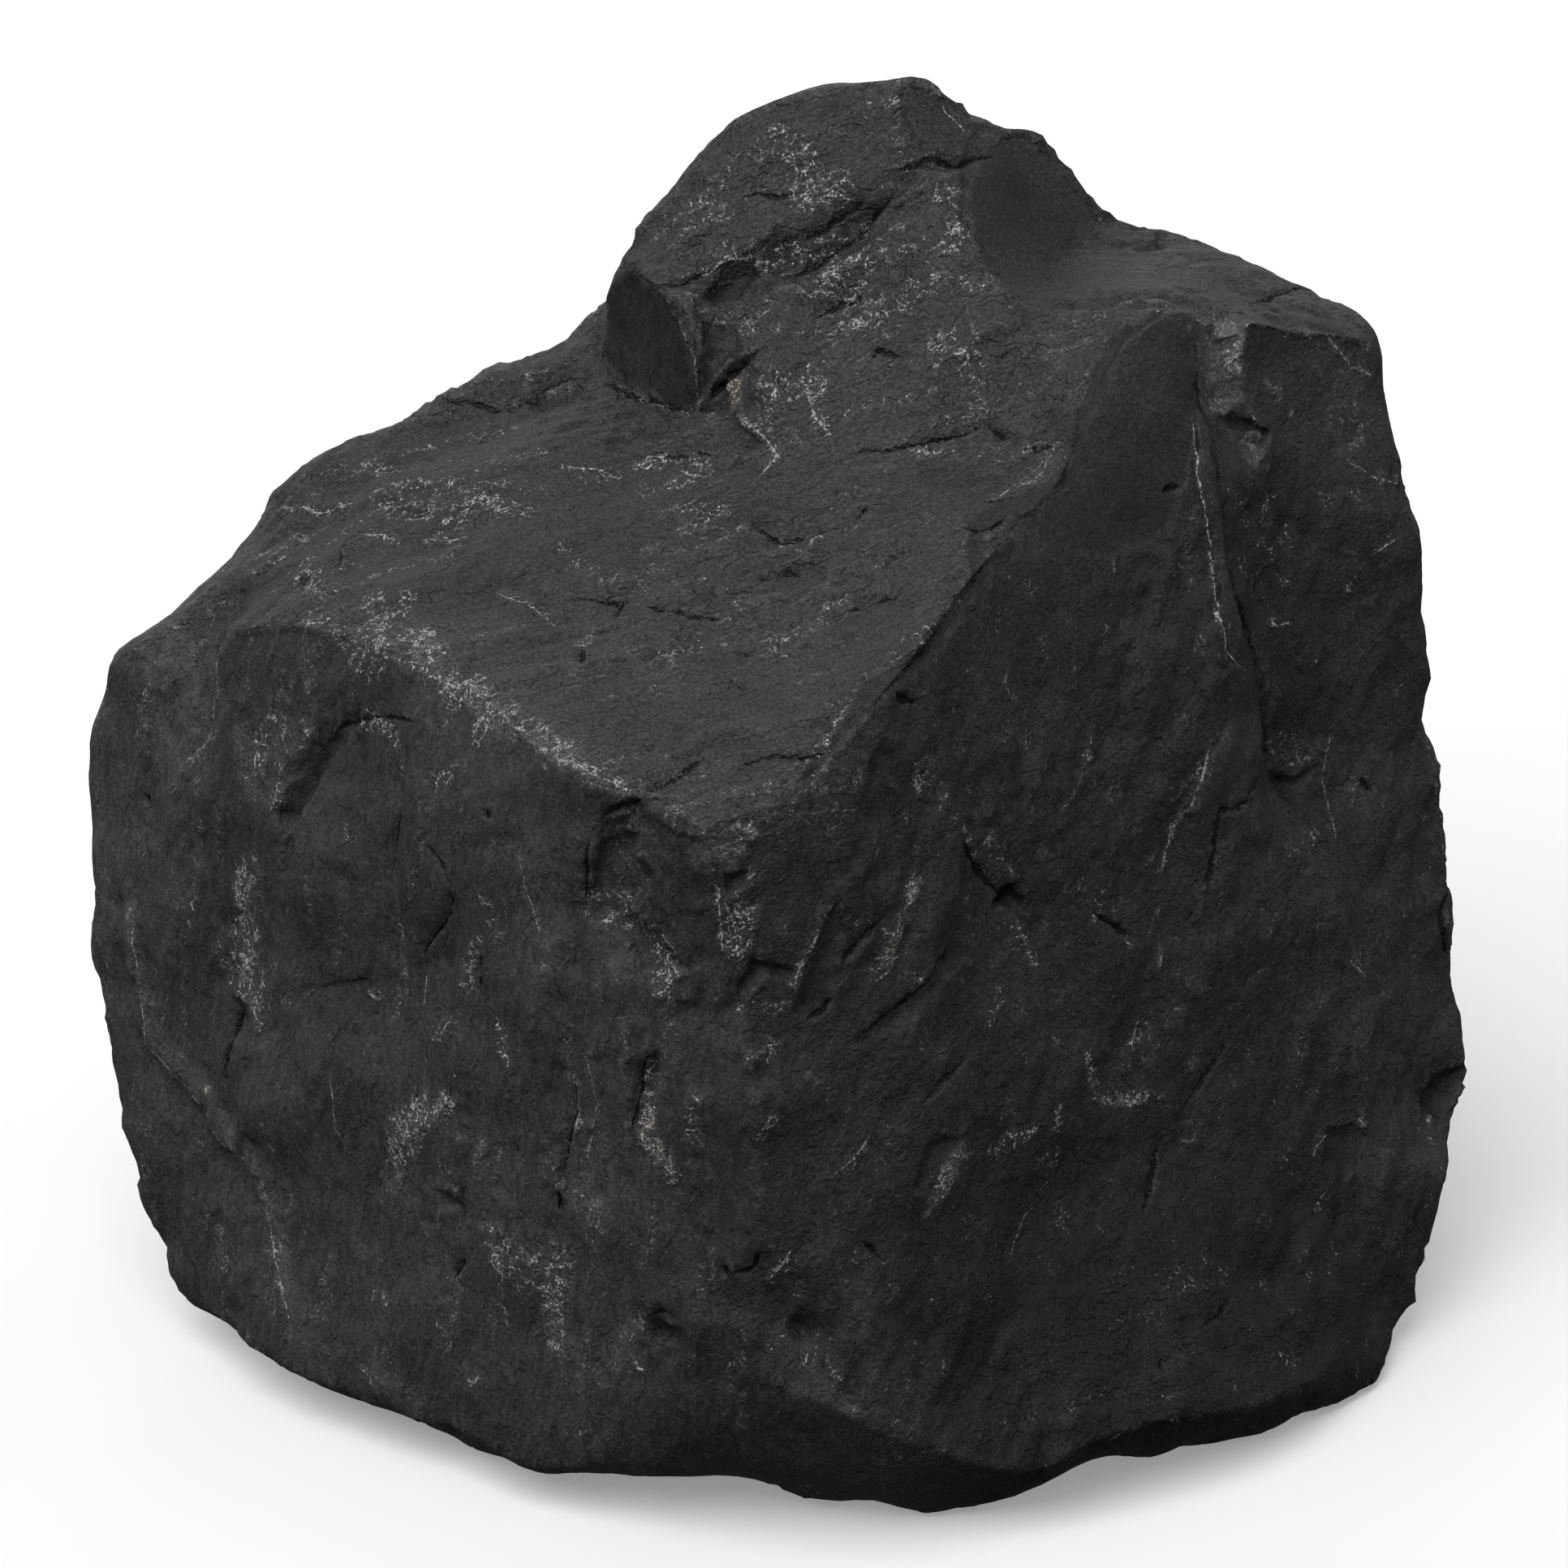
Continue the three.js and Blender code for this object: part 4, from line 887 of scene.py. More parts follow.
class Surface:
    """A closed surface of triangles, some of whose sides are creases that stay sharp."""

    def __init__(self, points, triangles):
        self.points = points
        self.triangles = triangles
        self.creases = self.find_creases()

    def sides(self):
        """Every side once, and for each triangle the numbers of its sides ab, bc and ca."""
        pairs = self.triangles[:, [0, 1, 1, 2, 2, 0]].reshape(-1, 2)
        _, first, of_triangle = np.unique(side_keys(pairs), return_index=True, return_inverse=True)
        return pairs[first], of_triangle.reshape(-1, 3)

    def face_crosses(self):
        """A vector square to each triangle, twice its area long."""
        a, b, c = (self.points[self.triangles[:, k]] for k in range(3))
        return np.cross(b - a, c - a)

    def normals(self):
        """The direction straight out of the surface at each point."""
        crosses = self.face_crosses()
        return unit(self.spread_faces(crosses))

    def spread_faces(self, values):
        """For each point, the sum of the vectors of the triangles round it."""
        corners = self.triangles.ravel()
        total = len(self.points)
        each = np.repeat(values, 3, axis=0)
        return np.column_stack([np.bincount(corners, each[:, k], total) for k in range(3)])

    def find_creases(self):
        """The sides where the surface bends sharply, and those round the flat foot."""
        sides, of_triangle = self.sides()
        directions = unit(self.face_crosses())
        neighbours = np.argsort(of_triangle.ravel(), kind="stable").reshape(-1, 2) // 3
        first, second = directions[neighbours[:, 0]], directions[neighbours[:, 1]]
        is_sharp = (first * second).sum(axis=1) < math.cos(CREASE_ANGLE)
        is_under = self.points[self.triangles][:, :, 2].max(axis=1) < WELD
        is_rim = is_under[neighbours[:, 0]] != is_under[neighbours[:, 1]]
        return sides[is_sharp | is_rim]

    def split(self, longest):
        """Halves every side that is longer than longest says for its middle."""
        sides, of_triangle = self.sides()
        ends = self.points[sides]
        middles = ends.mean(axis=1)
        is_cut = np.linalg.norm(ends[:, 0] - ends[:, 1], axis=1) > longest(sides, middles)
        new = np.where(is_cut, len(self.points) + np.cumsum(is_cut) - 1, -1)
        is_crease = np.isin(side_keys(sides), side_keys(self.creases))
        cut = is_crease & is_cut
        self.creases = np.concatenate([
            sides[is_crease & ~is_cut],
            np.column_stack([sides[cut, 0], new[cut]]),
            np.column_stack([new[cut], sides[cut, 1]]),
        ])
        self.points = np.concatenate([self.points, middles[is_cut]])
        self.triangles = cut_triangles(self.triangles, new[of_triangle], self.points)
        return is_cut.any()

    def even_out(self, passes):
        """Rounds the surface without shrinking it. Creases are rounded only along their length."""
        sides, _ = self.sides()
        total = len(self.points)
        is_crease = np.isin(side_keys(sides), side_keys(self.creases))
        crease_count = np.bincount(sides[is_crease].ravel(), minlength=total)
        on_crease = crease_count == 2
        is_held = crease_count > 2
        on_foot = self.points[:, 2] < WELD
        receivers = np.concatenate([sides[:, 0], sides[:, 1]])
        givers = np.concatenate([sides[:, 1], sides[:, 0]])
        weights = np.where(on_crease[receivers], np.tile(is_crease, 2), 1.0)
        sums = np.maximum(np.bincount(receivers, weights, total), 1)
        for _, share in itertools.product(range(passes), ROUNDING):
            means = np.column_stack([
                np.bincount(receivers, weights * self.points[givers, k], total) / sums
                for k in range(3)
            ])
            moves = share * (means - self.points)
            moves[is_held] = 0
            moves[on_foot, 2] = 0
            self.points = self.points + moves
        self.points[:, 2] = np.maximum(self.points[:, 2], 0)


def cad_surface(node):
    """The CAD node's triangles as one closed surface."""
    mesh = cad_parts[node].data
    mesh.calc_loop_triangles()
    places = np.empty(len(mesh.vertices) * 3)
    mesh.vertices.foreach_get("co", places)
    corners = np.empty(len(mesh.loop_triangles) * 3, dtype=np.int32)
    mesh.loop_triangles.foreach_get("vertices", corners)
    places = places.reshape(-1, 3) / MM
    _, first, where = np.unique(
        np.round(places / WELD), axis=0, return_index=True, return_inverse=True)
    triangles = where.ravel()[corners].reshape(-1, 3)
    a, b, c = triangles.T
    return Surface(places[first], triangles[(a != b) & (b != c) & (c != a)])


# Lines on the stone

TRACE_STEP = 7  # pixels
HIDDEN_STEP = 0.3
WANDER = 1.6  # pixels that a traced line strays from the straight, as a real crack does
JUMP = 3.0  # a line is cut where it leaps further than this, from one face to another


def walked(corners, step):
    """Places a step apart along a line through the corners."""
    corners = np.array(corners, dtype=float)
    spots = [corners[:1]]
    for start, end in zip(corners[:-1], corners[1:]):
        count = max(1, round(np.linalg.norm(end - start) / step))
        spots.append(start + (end - start) * (np.arange(1, count + 1) / count)[:, None])
    return np.concatenate(spots)


def laid(tree, line):
    """The places on the stone nearest to a line of millimetres, which strays a little."""
    spots = walked(line, HIDDEN_STEP)
    stray = np.column_stack([fractal(spots, 4.0, 3, seed) for seed in (13, 15, 17)])
    return np.array([tuple(tree.find_nearest(Vector(spot))[0]) for spot in spots + stray])


def traced(tree, pixels):
    """The places on the stone under a line of pixels."""
    spots = walked(pixels, TRACE_STEP)
    flat = np.column_stack([spots, np.zeros(len(spots))])
    stray = np.column_stack([bumps(flat, 13.0, seed) for seed in (3, 5)])
    spots = spots + WANDER * stray
    rays = FORWARD * FOCAL_PIXELS + np.outer(spots[:, 0] - PHOTO_SIDE / 2, RIGHT)
    rays = unit(rays - np.outer(spots[:, 1] - PHOTO_SIDE / 2, UP))
    hits = [tree.ray_cast(Vector(CAMERA_PLACE), Vector(ray))[0] for ray in rays]
    return np.array([tuple(hit) for hit in hits if hit is not None]).reshape(-1, 3)


def pixels_of(points):
    """Where the photograph shows these places."""
    offset = points - CAMERA_PLACE
    depth = offset @ FORWARD
    across = PHOTO_SIDE / 2 + FOCAL_PIXELS * (offset @ RIGHT) / depth
    down = PHOTO_SIDE / 2 - FOCAL_PIXELS * (offset @ UP) / depth
    return np.column_stack([across, down])


def depth_inside(spots, outline):
    """How far inside an outline each spot is. Outside, it is below zero."""
    corners = np.array(outline, dtype=float)
    nearest = np.full(len(spots), np.inf)
    is_inside = np.zeros(len(spots), dtype=bool)
    for start, end in zip(corners, np.roll(corners, -1, axis=0)):
        run, offset = end - start, spots - start
        share = np.clip(offset @ run / (run @ run), 0, 1)
        nearest = np.minimum(nearest, np.linalg.norm(offset - share[:, None] * run, axis=1))
        crosses = (start[1] > spots[:, 1]) != (end[1] > spots[:, 1])
        rise = end[1] - start[1] or 1
        is_left = spots[:, 0] < start[0] + (spots[:, 1] - start[1]) * run[0] / rise
        is_inside ^= crosses & is_left
    return np.where(is_inside, nearest, -nearest)


class Nearness:
    """Which points are near a line, how near, how far along it, and on which side."""

    def __init__(self, points, normals, line, reach):
        self.picks = np.empty(0, dtype=int)
        if len(line) < 2:
            return
        low, high = line.min(axis=0) - reach, line.max(axis=0) + reach
        picks = np.flatnonzero(((points > low) & (points < high)).all(axis=1))
        if not len(picks):
            return
        starts, runs = line[:-1], np.diff(line, axis=0)
        lengths = np.linalg.norm(runs, axis=1)
        usable = (lengths < JUMP) & (lengths > 1e-6)
        starts, runs, lengths = starts[usable], runs[usable], lengths[usable]
        from_start = points[picks, None] - starts
        share = np.clip((from_start * runs).sum(axis=2) / lengths ** 2, 0, 1)
        gaps = from_start - share[..., None] * runs
        distances = np.linalg.norm(gaps, axis=2)
        best = distances.argmin(axis=1)
        rows = np.arange(len(picks))
        distance = distances[rows, best]
        before = np.concatenate([[0], np.cumsum(lengths)])
        along = (before[best] + share[rows, best] * lengths[best]) / before[-1]
        across = np.cross(runs[best], normals[picks])
        side = np.sign((across * gaps[rows, best]).sum(axis=1))
        near = distance < reach
        self.picks = picks[near]
        self.distance = distance[near]
        self.along = along[near]
        self.side = side[near]


def ends_fade(along, share=0.12):
    """1 along the middle of a line and down to 0 at both of its ends."""
    return smooth_share(0, share, along) * smooth_share(0, share, 1 - along)


class Stone:
    """The stone's fine surface, with the relief and the finish that it collects, painted shade and light
    among it.
    """

    def __init__(self, surface, lines):
        self.surface = surface
        self.lines = lines
        self.points = surface.points
        self.normals = surface.normals()
        self.spots = pixels_of(self.points)
        self.relief = np.zeros(len(self.points))
        self.finish = self.plain_finish()
        to_camera = unit(CAMERA_PLACE - self.points)
        facing = (self.normals * to_camera).sum(axis=1)
        outward = unit(self.points - self.points.mean(axis=0))
        self.is_seen = facing > SEEN_FACING
        self.outline = np.exp(-(facing / OUTLINE_FACING) ** 2)
        self.hidden = smooth_share(*HIDDEN_PLACES, (outward * to_camera).sum(axis=1))

    def plain_finish(self):
        """The finish before any mark: no lines near, and the side that each point belongs to."""
        total = len(self.points)
        names = ("fleck", "tan", "tone_and_painted_shading", "calm", "crack_width", "vein_width")
        finish = {name: np.zeros(total) for name in names}
        finish["crack"] = np.full(total, LINE_REACH)
        finish["vein"] = np.full(total, LINE_REACH)
        finish["top"] = smooth_share(*UPWARD, self.normals[:, 2])
        finish["left"] = (1 - finish["top"]) * smooth_share(*LEFTWARD, self.normals[:, 0])
        return finish

    def near(self, group, name, reach):
        """The stone's points within reach of a named line."""
        return Nearness(self.points, self.normals, self.lines[group][name], reach)

    def draw_line(self, name, near, half_width):
        """Keeps how far each point is from the nearest drawn line, below zero on its left."""
        across, widths = self.finish[name], self.finish[name + "_width"]
        is_nearer = near.distance < np.abs(across[near.picks])
        picks, distance = near.picks[is_nearer], near.distance[is_nearer]
        across[picks] = distance * near.side[is_nearer]
        widths[picks] = half_width[is_nearer] * smooth_share(LINE_REACH, LINE_FADE, distance)

    def along_grain(self, heights):
        """Heights made in places drawn together along the grain of each side, and blended."""
        top, left = self.finish["top"], self.finish["left"]
        shares = ((top, TOP_GRAIN), (left, LEFT_GRAIN), (1 - top - left, RIGHT_GRAIN))
        total = np.zeros(len(self.points))
        for share, direction in shares:
            direction = unit(np.array(direction))
            along = (self.points @ direction)[:, None] * direction
            total += share * heights(self.points - (1 - 1 / GRAIN_STRETCH) * along)
        return total

    def add_panels(self, marks):
        """Chips and faces with an outline: lower, paler or darker, and rougher or smoother; the darker
        colour is mostly painted shade.
        """
        ragged = PANEL_RAGGED * fractal(self.points, 0.9, 3, seed=23)
        for outline, drop, tone_and_painted_shading, flecks, calm in marks.values():
            inside = depth_inside(self.spots, outline) / PIXELS_PER_MM + ragged
            share = smooth_share(*PANEL_EDGE, inside) * self.is_seen
            wall = smooth_share(*PANEL_WALL, inside) * self.is_seen
            self.relief -= PANEL_CUT * drop * wall
            self.finish["tone_and_painted_shading"] += tone_and_painted_shading * share
            self.finish["fleck"] += (flecks - 0.6 * calm * self.finish["fleck"]) * share
            self.finish["calm"] = np.maximum(self.finish["calm"], calm * share)

    def add_patches(self, finish, group, marks):
        """Spreads a finish round lines, with a ragged edge."""
        ragged = PATCH_RAGGED * fractal(self.points, 1.3, 3, seed=21)
        values = self.finish[finish]
        for name, (_, reach, strength) in marks.items():
            near = self.near(group, name, reach * PATCH_LIMIT)
            if not len(near.picks):
                continue
            inside = 1 - near.distance / (reach * PATCH_SPREAD) + ragged[near.picks]
            amount = PATCH_STRENGTH * strength * smooth_share(*PATCH_EDGE, inside)
            values[near.picks] = np.maximum(values[near.picks], amount)
            if finish == "fleck" and reach <= VEIN_REACH:
                self.draw_line("vein", near, VEIN_HALF_WIDTH * strength * ends_fade(near.along))

    def add_painted_shading(self, marks):
        """Paints broad soft-edged shade and light: darker or paler parts of the colour, where the form's
        light and shade fall.
        """
        for outline, edge, tone_and_painted_shading in marks.values():
            inside = depth_inside(self.spots, outline) / PIXELS_PER_MM
            self.finish["tone_and_painted_shading"] += tone_and_painted_shading * smooth_share(-edge / 2, edge / 2, inside) * self.is_seen

    def add_cracks(self, marks):
        """Cuts sharp uneven grooves that thin out to their ends, with one side a little lower."""
        uneven = 1 + CRACK_UNEVENNESS * fractal(self.points, 1.1, 2, seed=31)
        uneven = np.clip(uneven, *CRACK_WIDTHS)
        for name, (_, half_width, depth) in marks.items():
            near = self.near("cracks", name, CRACK_LIP_REACH)
            if not len(near.picks):
                continue
            fade = ends_fade(near.along, 0.3)
            width = half_width * (0.3 + 0.7 * fade) * uneven[near.picks]
            inside = np.clip(1 - near.distance / width, 0, 1) ** 0.8
            lip = CRACK_LIP * fade * (1 - near.distance / CRACK_LIP_REACH) ** 2 * (near.side > 0)
            self.relief[near.picks] -= CRACK_CUT * depth * fade * inside + lip
            ends = ends_fade(near.along, 0.2)
            # The drawn line is painted dark by the material, as shade in the crack.
            self.draw_line("crack", near, CRACK_LINE * half_width * ends * uneven[near.picks])

    def add_steps(self, marks):
        """Lowers one side of a line, most of all beside it."""
        for name, (_, drop, reach) in marks.items():
            near = self.near("steps", name, reach)
            if not len(near.picks):
                continue
            is_lower = near.side > 0
            slope = (1 - near.distance / reach) ** 2
            self.relief[near.picks] -= drop * ends_fade(near.along, 0.2) * slope * is_lower

    def add_hollows(self, marks):
        """Presses round-bottomed hollows, or raises ribs."""
        for name, (_, reach, depth) in marks.items():
            near = self.near("hollows", name, reach)
            if not len(near.picks):
                continue
            bowl = (1 - (near.distance / reach) ** 2) ** 2
            self.relief[near.picks] -= depth * bowl * ends_fade(near.along, 0.25).clip(0.25)

    def add_flakes(self, dice):
        """Scoops shallow flakes out of the whole surface. Where two meet, the deeper one counts."""
        weights = np.linalg.norm(self.surface.face_crosses(), axis=1)
        chosen = dice.choice(len(weights), FLAKE_COUNT, p=weights / weights.sum())
        centres = self.points[self.surface.triangles[chosen, 0]]
        low, high = np.log(FLAKE_RADIUS)
        radii = np.exp(dice.uniform(low, high, FLAKE_COUNT))
        scoop = np.zeros(len(self.points))
        for centre, radius in zip(centres, radii):
            offset = self.points - centre
            picks = np.flatnonzero((np.abs(offset) < radius).all(axis=1))
            distance = np.linalg.norm(offset[picks] * (1, 1, 0.8), axis=1) / radius
            bowl = -FLAKE_DEPTH * radius * np.clip(1 - distance ** 2, 0, None)
            scoop[picks] = np.minimum(scoop[picks], bowl)
        self.relief += scoop * (1 - LESS_CALM_FLAKES * self.finish["calm"])

    def warp(self):
        """A short random step in millimetres for each point, which makes straight edges ragged."""
        bends = [fractal(self.points, WARP_SIZE, 2, seed) for seed in (51, 53, 55)]
        return WARP_REACH * np.column_stack(bends)

    def liveliness(self):
        """How strong the random relief is at each point."""
        share = smooth_share(-0.6, 0.9, fractal(self.points, LIVELY_SIZE, 2, seed=57))
        lively = 1 - LESS_CALM_RELIEF * self.finish["calm"].clip(0, 1)
        lively *= share * LIVELY_GAIN + LEAST_LIVELY
        lively *= 1 + EXTRA_HIDDEN_RELIEF * self.hidden
        lively *= 1 + EXTRA_TOP_RELIEF * self.finish["top"]
        return lively * (1 - LESS_OUTLINE_RELIEF * self.outline * (1 - self.hidden))

    def add_fracture(self):
        """The broken surface itself: swells, faces, ledges and ripples along the grain, and grit."""
        warp = self.warp()

        def broken_faces(places):
            heights = FACE_HEIGHT * facets(places + warp, FACE_SIZE, seed=61)
            heights += SMALL_FACE_HEIGHT * facets(places + 0.5 * warp, SMALL_FACE_SIZE, seed=63)
            ledges = terraces(LEDGES_PER_BUMP * fractal(places, LEDGE_SIZE, 3, seed=43))
            return heights + LEDGE_HEIGHT * ledges + GRIT_HEIGHT * fractal(places, GRIT_SIZE, 2, seed=45)

        self.relief += SWELL_HEIGHT * fractal(self.points, SWELL_SIZE, 2, seed=41)
        grit = GRIT_HEIGHT * fractal(self.points, GRIT_SIZE, 2, seed=47)
        grit *= 0.6 + 2 * self.finish["fleck"].clip(0, 1)
        self.relief += self.liveliness() * (self.along_grain(broken_faces) + grit)

    def add_hidden_chips(self):
        """Shallow hollows and flat chips all over the sides that the photograph doesn't show."""
        shells = SHELL_DEPTH * np.abs(fractal(self.points, SHELL_SIZE, 2, seed=71))
        chips = CHIP_TILT * facets(self.points + 0.6 * self.warp(), CHIP_SIZE, seed=65)
        above_foot = smooth_share(0, FOOT_HEIGHT, self.points[:, 2])
        self.relief += (chips - shells) * self.hidden * above_foot

    def add_hidden_faces(self, marks):
        """Cuts nearly flat faces: what stands out beyond a face's plane is drawn back onto it."""
        uneven = FACE_UNEVENNESS * fractal(self.points, FACE_BUMP_SIZE, 3, seed=73)
        cut = np.zeros(len(self.points))
        for direction, depth in marks.values():
            direction = unit(np.array(direction))
            heights = self.points @ direction
            beyond = heights - heights.max() + depth + uneven
            cut = np.maximum(cut, beyond / (self.normals @ direction).clip(0.35))
        self.relief -= cut * self.hidden

    def finished_points(self):
        """The points moved out by the relief. The foot stays flat."""
        relief = self.relief - np.median(self.relief)
        moved = self.points + relief[:, None] * self.normals
        on_foot = self.points[:, 2] < WELD
        moved[on_foot] = self.points[on_foot]
        moved[:, 2] = np.maximum(moved[:, 2], 0)
        return moved


def near_lines(lines, places, reach):
    """Whether each place is within about reach of any of the lines."""
    cells = np.concatenate([np.round(line / reach).astype(np.int64) for line in lines])
    around = np.array(list(itertools.product((-1, 0, 1), repeat=3)))
    keys = ((cells[:, None] + around) @ HASH_STEPS).ravel()
    return np.isin(np.round(places / reach).astype(np.int64) @ HASH_STEPS, keys)


def refine(surface, lines):
    """Makes the surface fine: finer where the photograph shows it, and finest along the lines."""
    def longest(sides, middles):
        normals = surface.normals()[sides].mean(axis=1)
        is_seen = (normals * (CAMERA_PLACE - middles)).sum(axis=1) > 0
        lengths = np.where(is_seen, SEEN_SIDE, UNSEEN_SIDE)
        lengths[near_lines(lines, middles, CRACK_REACH)] = CRACK_SIDE
        lengths[middles[:, 2] < WELD] = FOOT_SIDE
        return lengths

    for _ in range(REFINE_ROUNDS):
        surface.split(longest)
        surface.even_out(1)


def on_stone(tree, line):
    """A mark's line on the stone: its corners are pixels or, on a hidden side, millimetres."""
    return laid(tree, line) if len(line[0]) == 3 else traced(tree, line)


def traced_groups(tree):
    """Every named line, on the stone."""
    edges = {
        name: (panel[0] + panel[0][:1],) for name, panel in PANELS.items()
        if abs(panel[1]) >= SHARP_PANEL_DROP
    }
    groups = {
        "cracks": CRACKS, "steps": STEPS, "hollows": HOLLOWS, "fleck": FLECKS, "tone_and_painted_shading": PALE_FACES,
        "calm": CALM_FACES, "tan": TAN_GRAINS, "panels": edges,
    }
    return {
        group: {name: on_stone(tree, mark[0]) for name, mark in marks.items()}
        for group, marks in groups.items()
    }


def sharp_lines(lines):
    """The lines that need short sides beside them: cracks, veins and the edges of chips."""
    veins = [line for name, line in lines["fleck"].items() if FLECKS[name][1] <= FINE_VEIN_REACH]
    chosen = [*lines["cracks"].values(), *veins, *lines["panels"].values()]
    return [line for line in chosen if len(line)]


RAISED_EDGE_PERCENTILES = (86, 98)  # of how far points stand out from their neighbours
SUNK_PERCENTILES = (12, 2)


def bending(surface, points):
    """How far each point stands out from its neighbours, for the length of the sides there."""
    sides, _ = surface.sides()
    receivers = np.concatenate([sides[:, 0], sides[:, 1]])
    givers = np.concatenate([sides[:, 1], sides[:, 0]])
    total = len(points)
    counts = np.bincount(receivers, minlength=total)

    def mean_round(values):
        return np.bincount(receivers, values[givers], total) / counts

    means = np.column_stack([mean_round(points[:, k]) for k in range(3)])
    lengths = np.linalg.norm(points[receivers] - points[givers], axis=1)
    spacing = np.bincount(receivers, lengths, total) / counts
    outward = ((points - means) * surface.normals()).sum(axis=1) / spacing
    for _ in range(2):
        outward = 0.5 * outward + 0.5 * mean_round(outward)
    return outward


def smoothed_form(surface):
    """Rounds the CAD model's facets while its sides are still long."""
    for side in FORM_SIDES:
        surface.split(lambda sides, middles: np.where(middles[:, 2] < WELD, FOOT_SIDE, side))
        surface.even_out(EVEN_PASSES)
    return BVHTree.FromPolygons(surface.points.tolist(), surface.triangles.tolist())


def marked_stone(surface, lines):
    """The stone with every mark. Later marks build on the finish that earlier ones leave."""
    stone = Stone(surface, lines)
    stone.add_patches("calm", "calm", CALM_FACES)
    stone.add_patches("tone_and_painted_shading", "tone_and_painted_shading", PALE_FACES)
    stone.add_patches("fleck", "fleck", FLECKS)
    stone.add_patches("tan", "tan", TAN_GRAINS)
    stone.add_panels(PANELS)
    stone.add_painted_shading(PAINTED_SHADING)
    stone.add_fracture()
    stone.add_hidden_chips()
    stone.add_hidden_faces(HIDDEN_FACES)
    stone.add_flakes(np.random.default_rng(SEED))
    stone.add_hollows(HOLLOWS)
    stone.add_steps(STEPS)
    stone.add_cracks(CRACKS)
    return stone


def sculpted_stone():
    """The stone's surface with all its relief, and the finish of each of its points."""
    surface = cad_surface("stone")
    lines = traced_groups(smoothed_form(surface))
    refine(surface, sharp_lines(lines))
    stone = marked_stone(surface, lines)
    surface.points = stone.finished_points()
    outward = bending(surface, surface.points)
    # How far each point stands out on an edge; the material makes it paler there.
    stone.finish["worn"] = smooth_share(*np.percentile(outward, RAISED_EDGE_PERCENTILES), outward)
    # How sunk each point is; the material paints shade there.
    stone.finish["sunk_painted_shade"] = smooth_share(*np.percentile(outward, SUNK_PERCENTILES), outward)
    return surface, stone.finish


def stone_object():
    """The stone as a Blender object. Its finish, painted shade and light among it, is in attributes that
    the material reads.
    """
    surface, finish = sculpted_stone()
    mesh = bpy.data.meshes.new("shungite_stone")
    mesh.from_pydata((surface.points * MM).tolist(), [], surface.triangles.tolist())
    mesh.shade_smooth()
    for name, values in finish.items():
        attribute = mesh.attributes.new(name, "FLOAT", "POINT")
        attribute.data.foreach_set("value", values.astype(np.float32))
    piece = bpy.data.objects.new("shungite_stone", mesh)
    bpy.context.scene.collection.objects.link(piece)
    return piece


# Materials

class Graph:
    """The nodes of one material, each step of which reads as a call."""

    def __init__(self, name):
        self.material = bpy.data.materials.new(name)
        self.material.use_nodes = True
        self.nodes = self.material.node_tree.nodes
        self.links = self.material.node_tree.links
        self.shader = self.nodes["Principled BSDF"]

    def feed(self, socket, value):
        """Links a socket to another one, or sets it to a number or colour."""
        if isinstance(value, bpy.types.NodeSocket):
            self.links.new(value, socket)
        else:
            socket.default_value = value

    def add(self, kind, inputs, output=0, **settings):
        """Adds a node with these inputs and settings, and gives one of its outputs."""
        node = self.nodes.new(kind)
        for name, value in settings.items():
            setattr(node, name, value)
        for socket, value in inputs.items():
            self.feed(node.inputs[socket], value)
        return node.outputs[output]

    def finish(self, **inputs):
        """Feeds the shader. An underscore stands for a space in the name of an input."""
        for name, value in inputs.items():
            self.feed(self.shader.inputs[name.replace("_", " ")], value)

    def attribute(self, name):
        """The values of that name on the mesh."""
        return self.add("ShaderNodeAttribute", {}, "Fac", attribute_name=name)

    def math(self, operation, first, second=0.0, third=0.0):
        """Blender's arithmetic of that name on up to three numbers."""
        inputs = {0: first, 1: second, 2: third}
        return self.add("ShaderNodeMath", inputs, operation=operation)

    def noise(self, places, size, detail=2.0, roughness=0.5):
        """Noise from 0 to 1 with bumps of that many millimetres."""
        inputs = {"Vector": places, "Scale": 1 / (size * MM), "Detail": detail, "Roughness": roughness}
        return self.add("ShaderNodeTexNoise", inputs)

    def between(self, value, low, high, to_low=0.0, to_high=1.0):
        """Maps low..high to to_low..to_high, evenly curved and held at both ends."""
        inputs = {
            "Value": value, "From Min": low, "From Max": high, "To Min": to_low, "To Max": to_high,
        }
        return self.add("ShaderNodeMapRange", inputs, interpolation_type="SMOOTHSTEP")

    def blend(self, share, first, second):
        """The mix of two colours."""
        return self.add("ShaderNodeMix", {0: share, 6: first, 7: second}, 2, data_type="RGBA")

    def vectors(self, operation, first, second, output=0):
        """Blender's vector arithmetic of that name on two vectors."""
        return self.add("ShaderNodeVectorMath", {0: first, 1: second}, output, operation=operation)

    def scaled(self, vector, amount):
        """A vector or a colour times a number."""
        return self.add("ShaderNodeVectorMath", {0: vector, "Scale": amount}, operation="SCALE")


STONE_COLOUR = (0.0255, 0.0255, 0.0258)
FLECK_COLOUR = (0.46, 0.455, 0.445, 1)
TAN_COLOUR = (0.47, 0.41, 0.33, 1)
STONE_ROUGHNESS = 0.56
STREAK_ROUGHNESS = (-0.08, 0.1)
FLECK_ROUGHNESS = 0.12
STONE_SPECULAR = 0.25
CENTRE = (0.5, 0.5, 0.5)  # the middle of a random colour

# Sizes of the patterns, in millimetres
MOTTLE_SIZE = 6.0
PATCH_SIZE = 1.5
LAYER_SIZE = 1.7
SWIRL_SIZE = 0.9
THREAD_SIZE = 0.8
TIPPED_FACE_SIZE = 0.7
FIBRE_SIZE = 0.5
RAGGED_SIZE = 0.35
STREAK_SIZE = 0.32
FINE_GRIT_SIZE = 0.17
SPECK_SIZE = 0.13

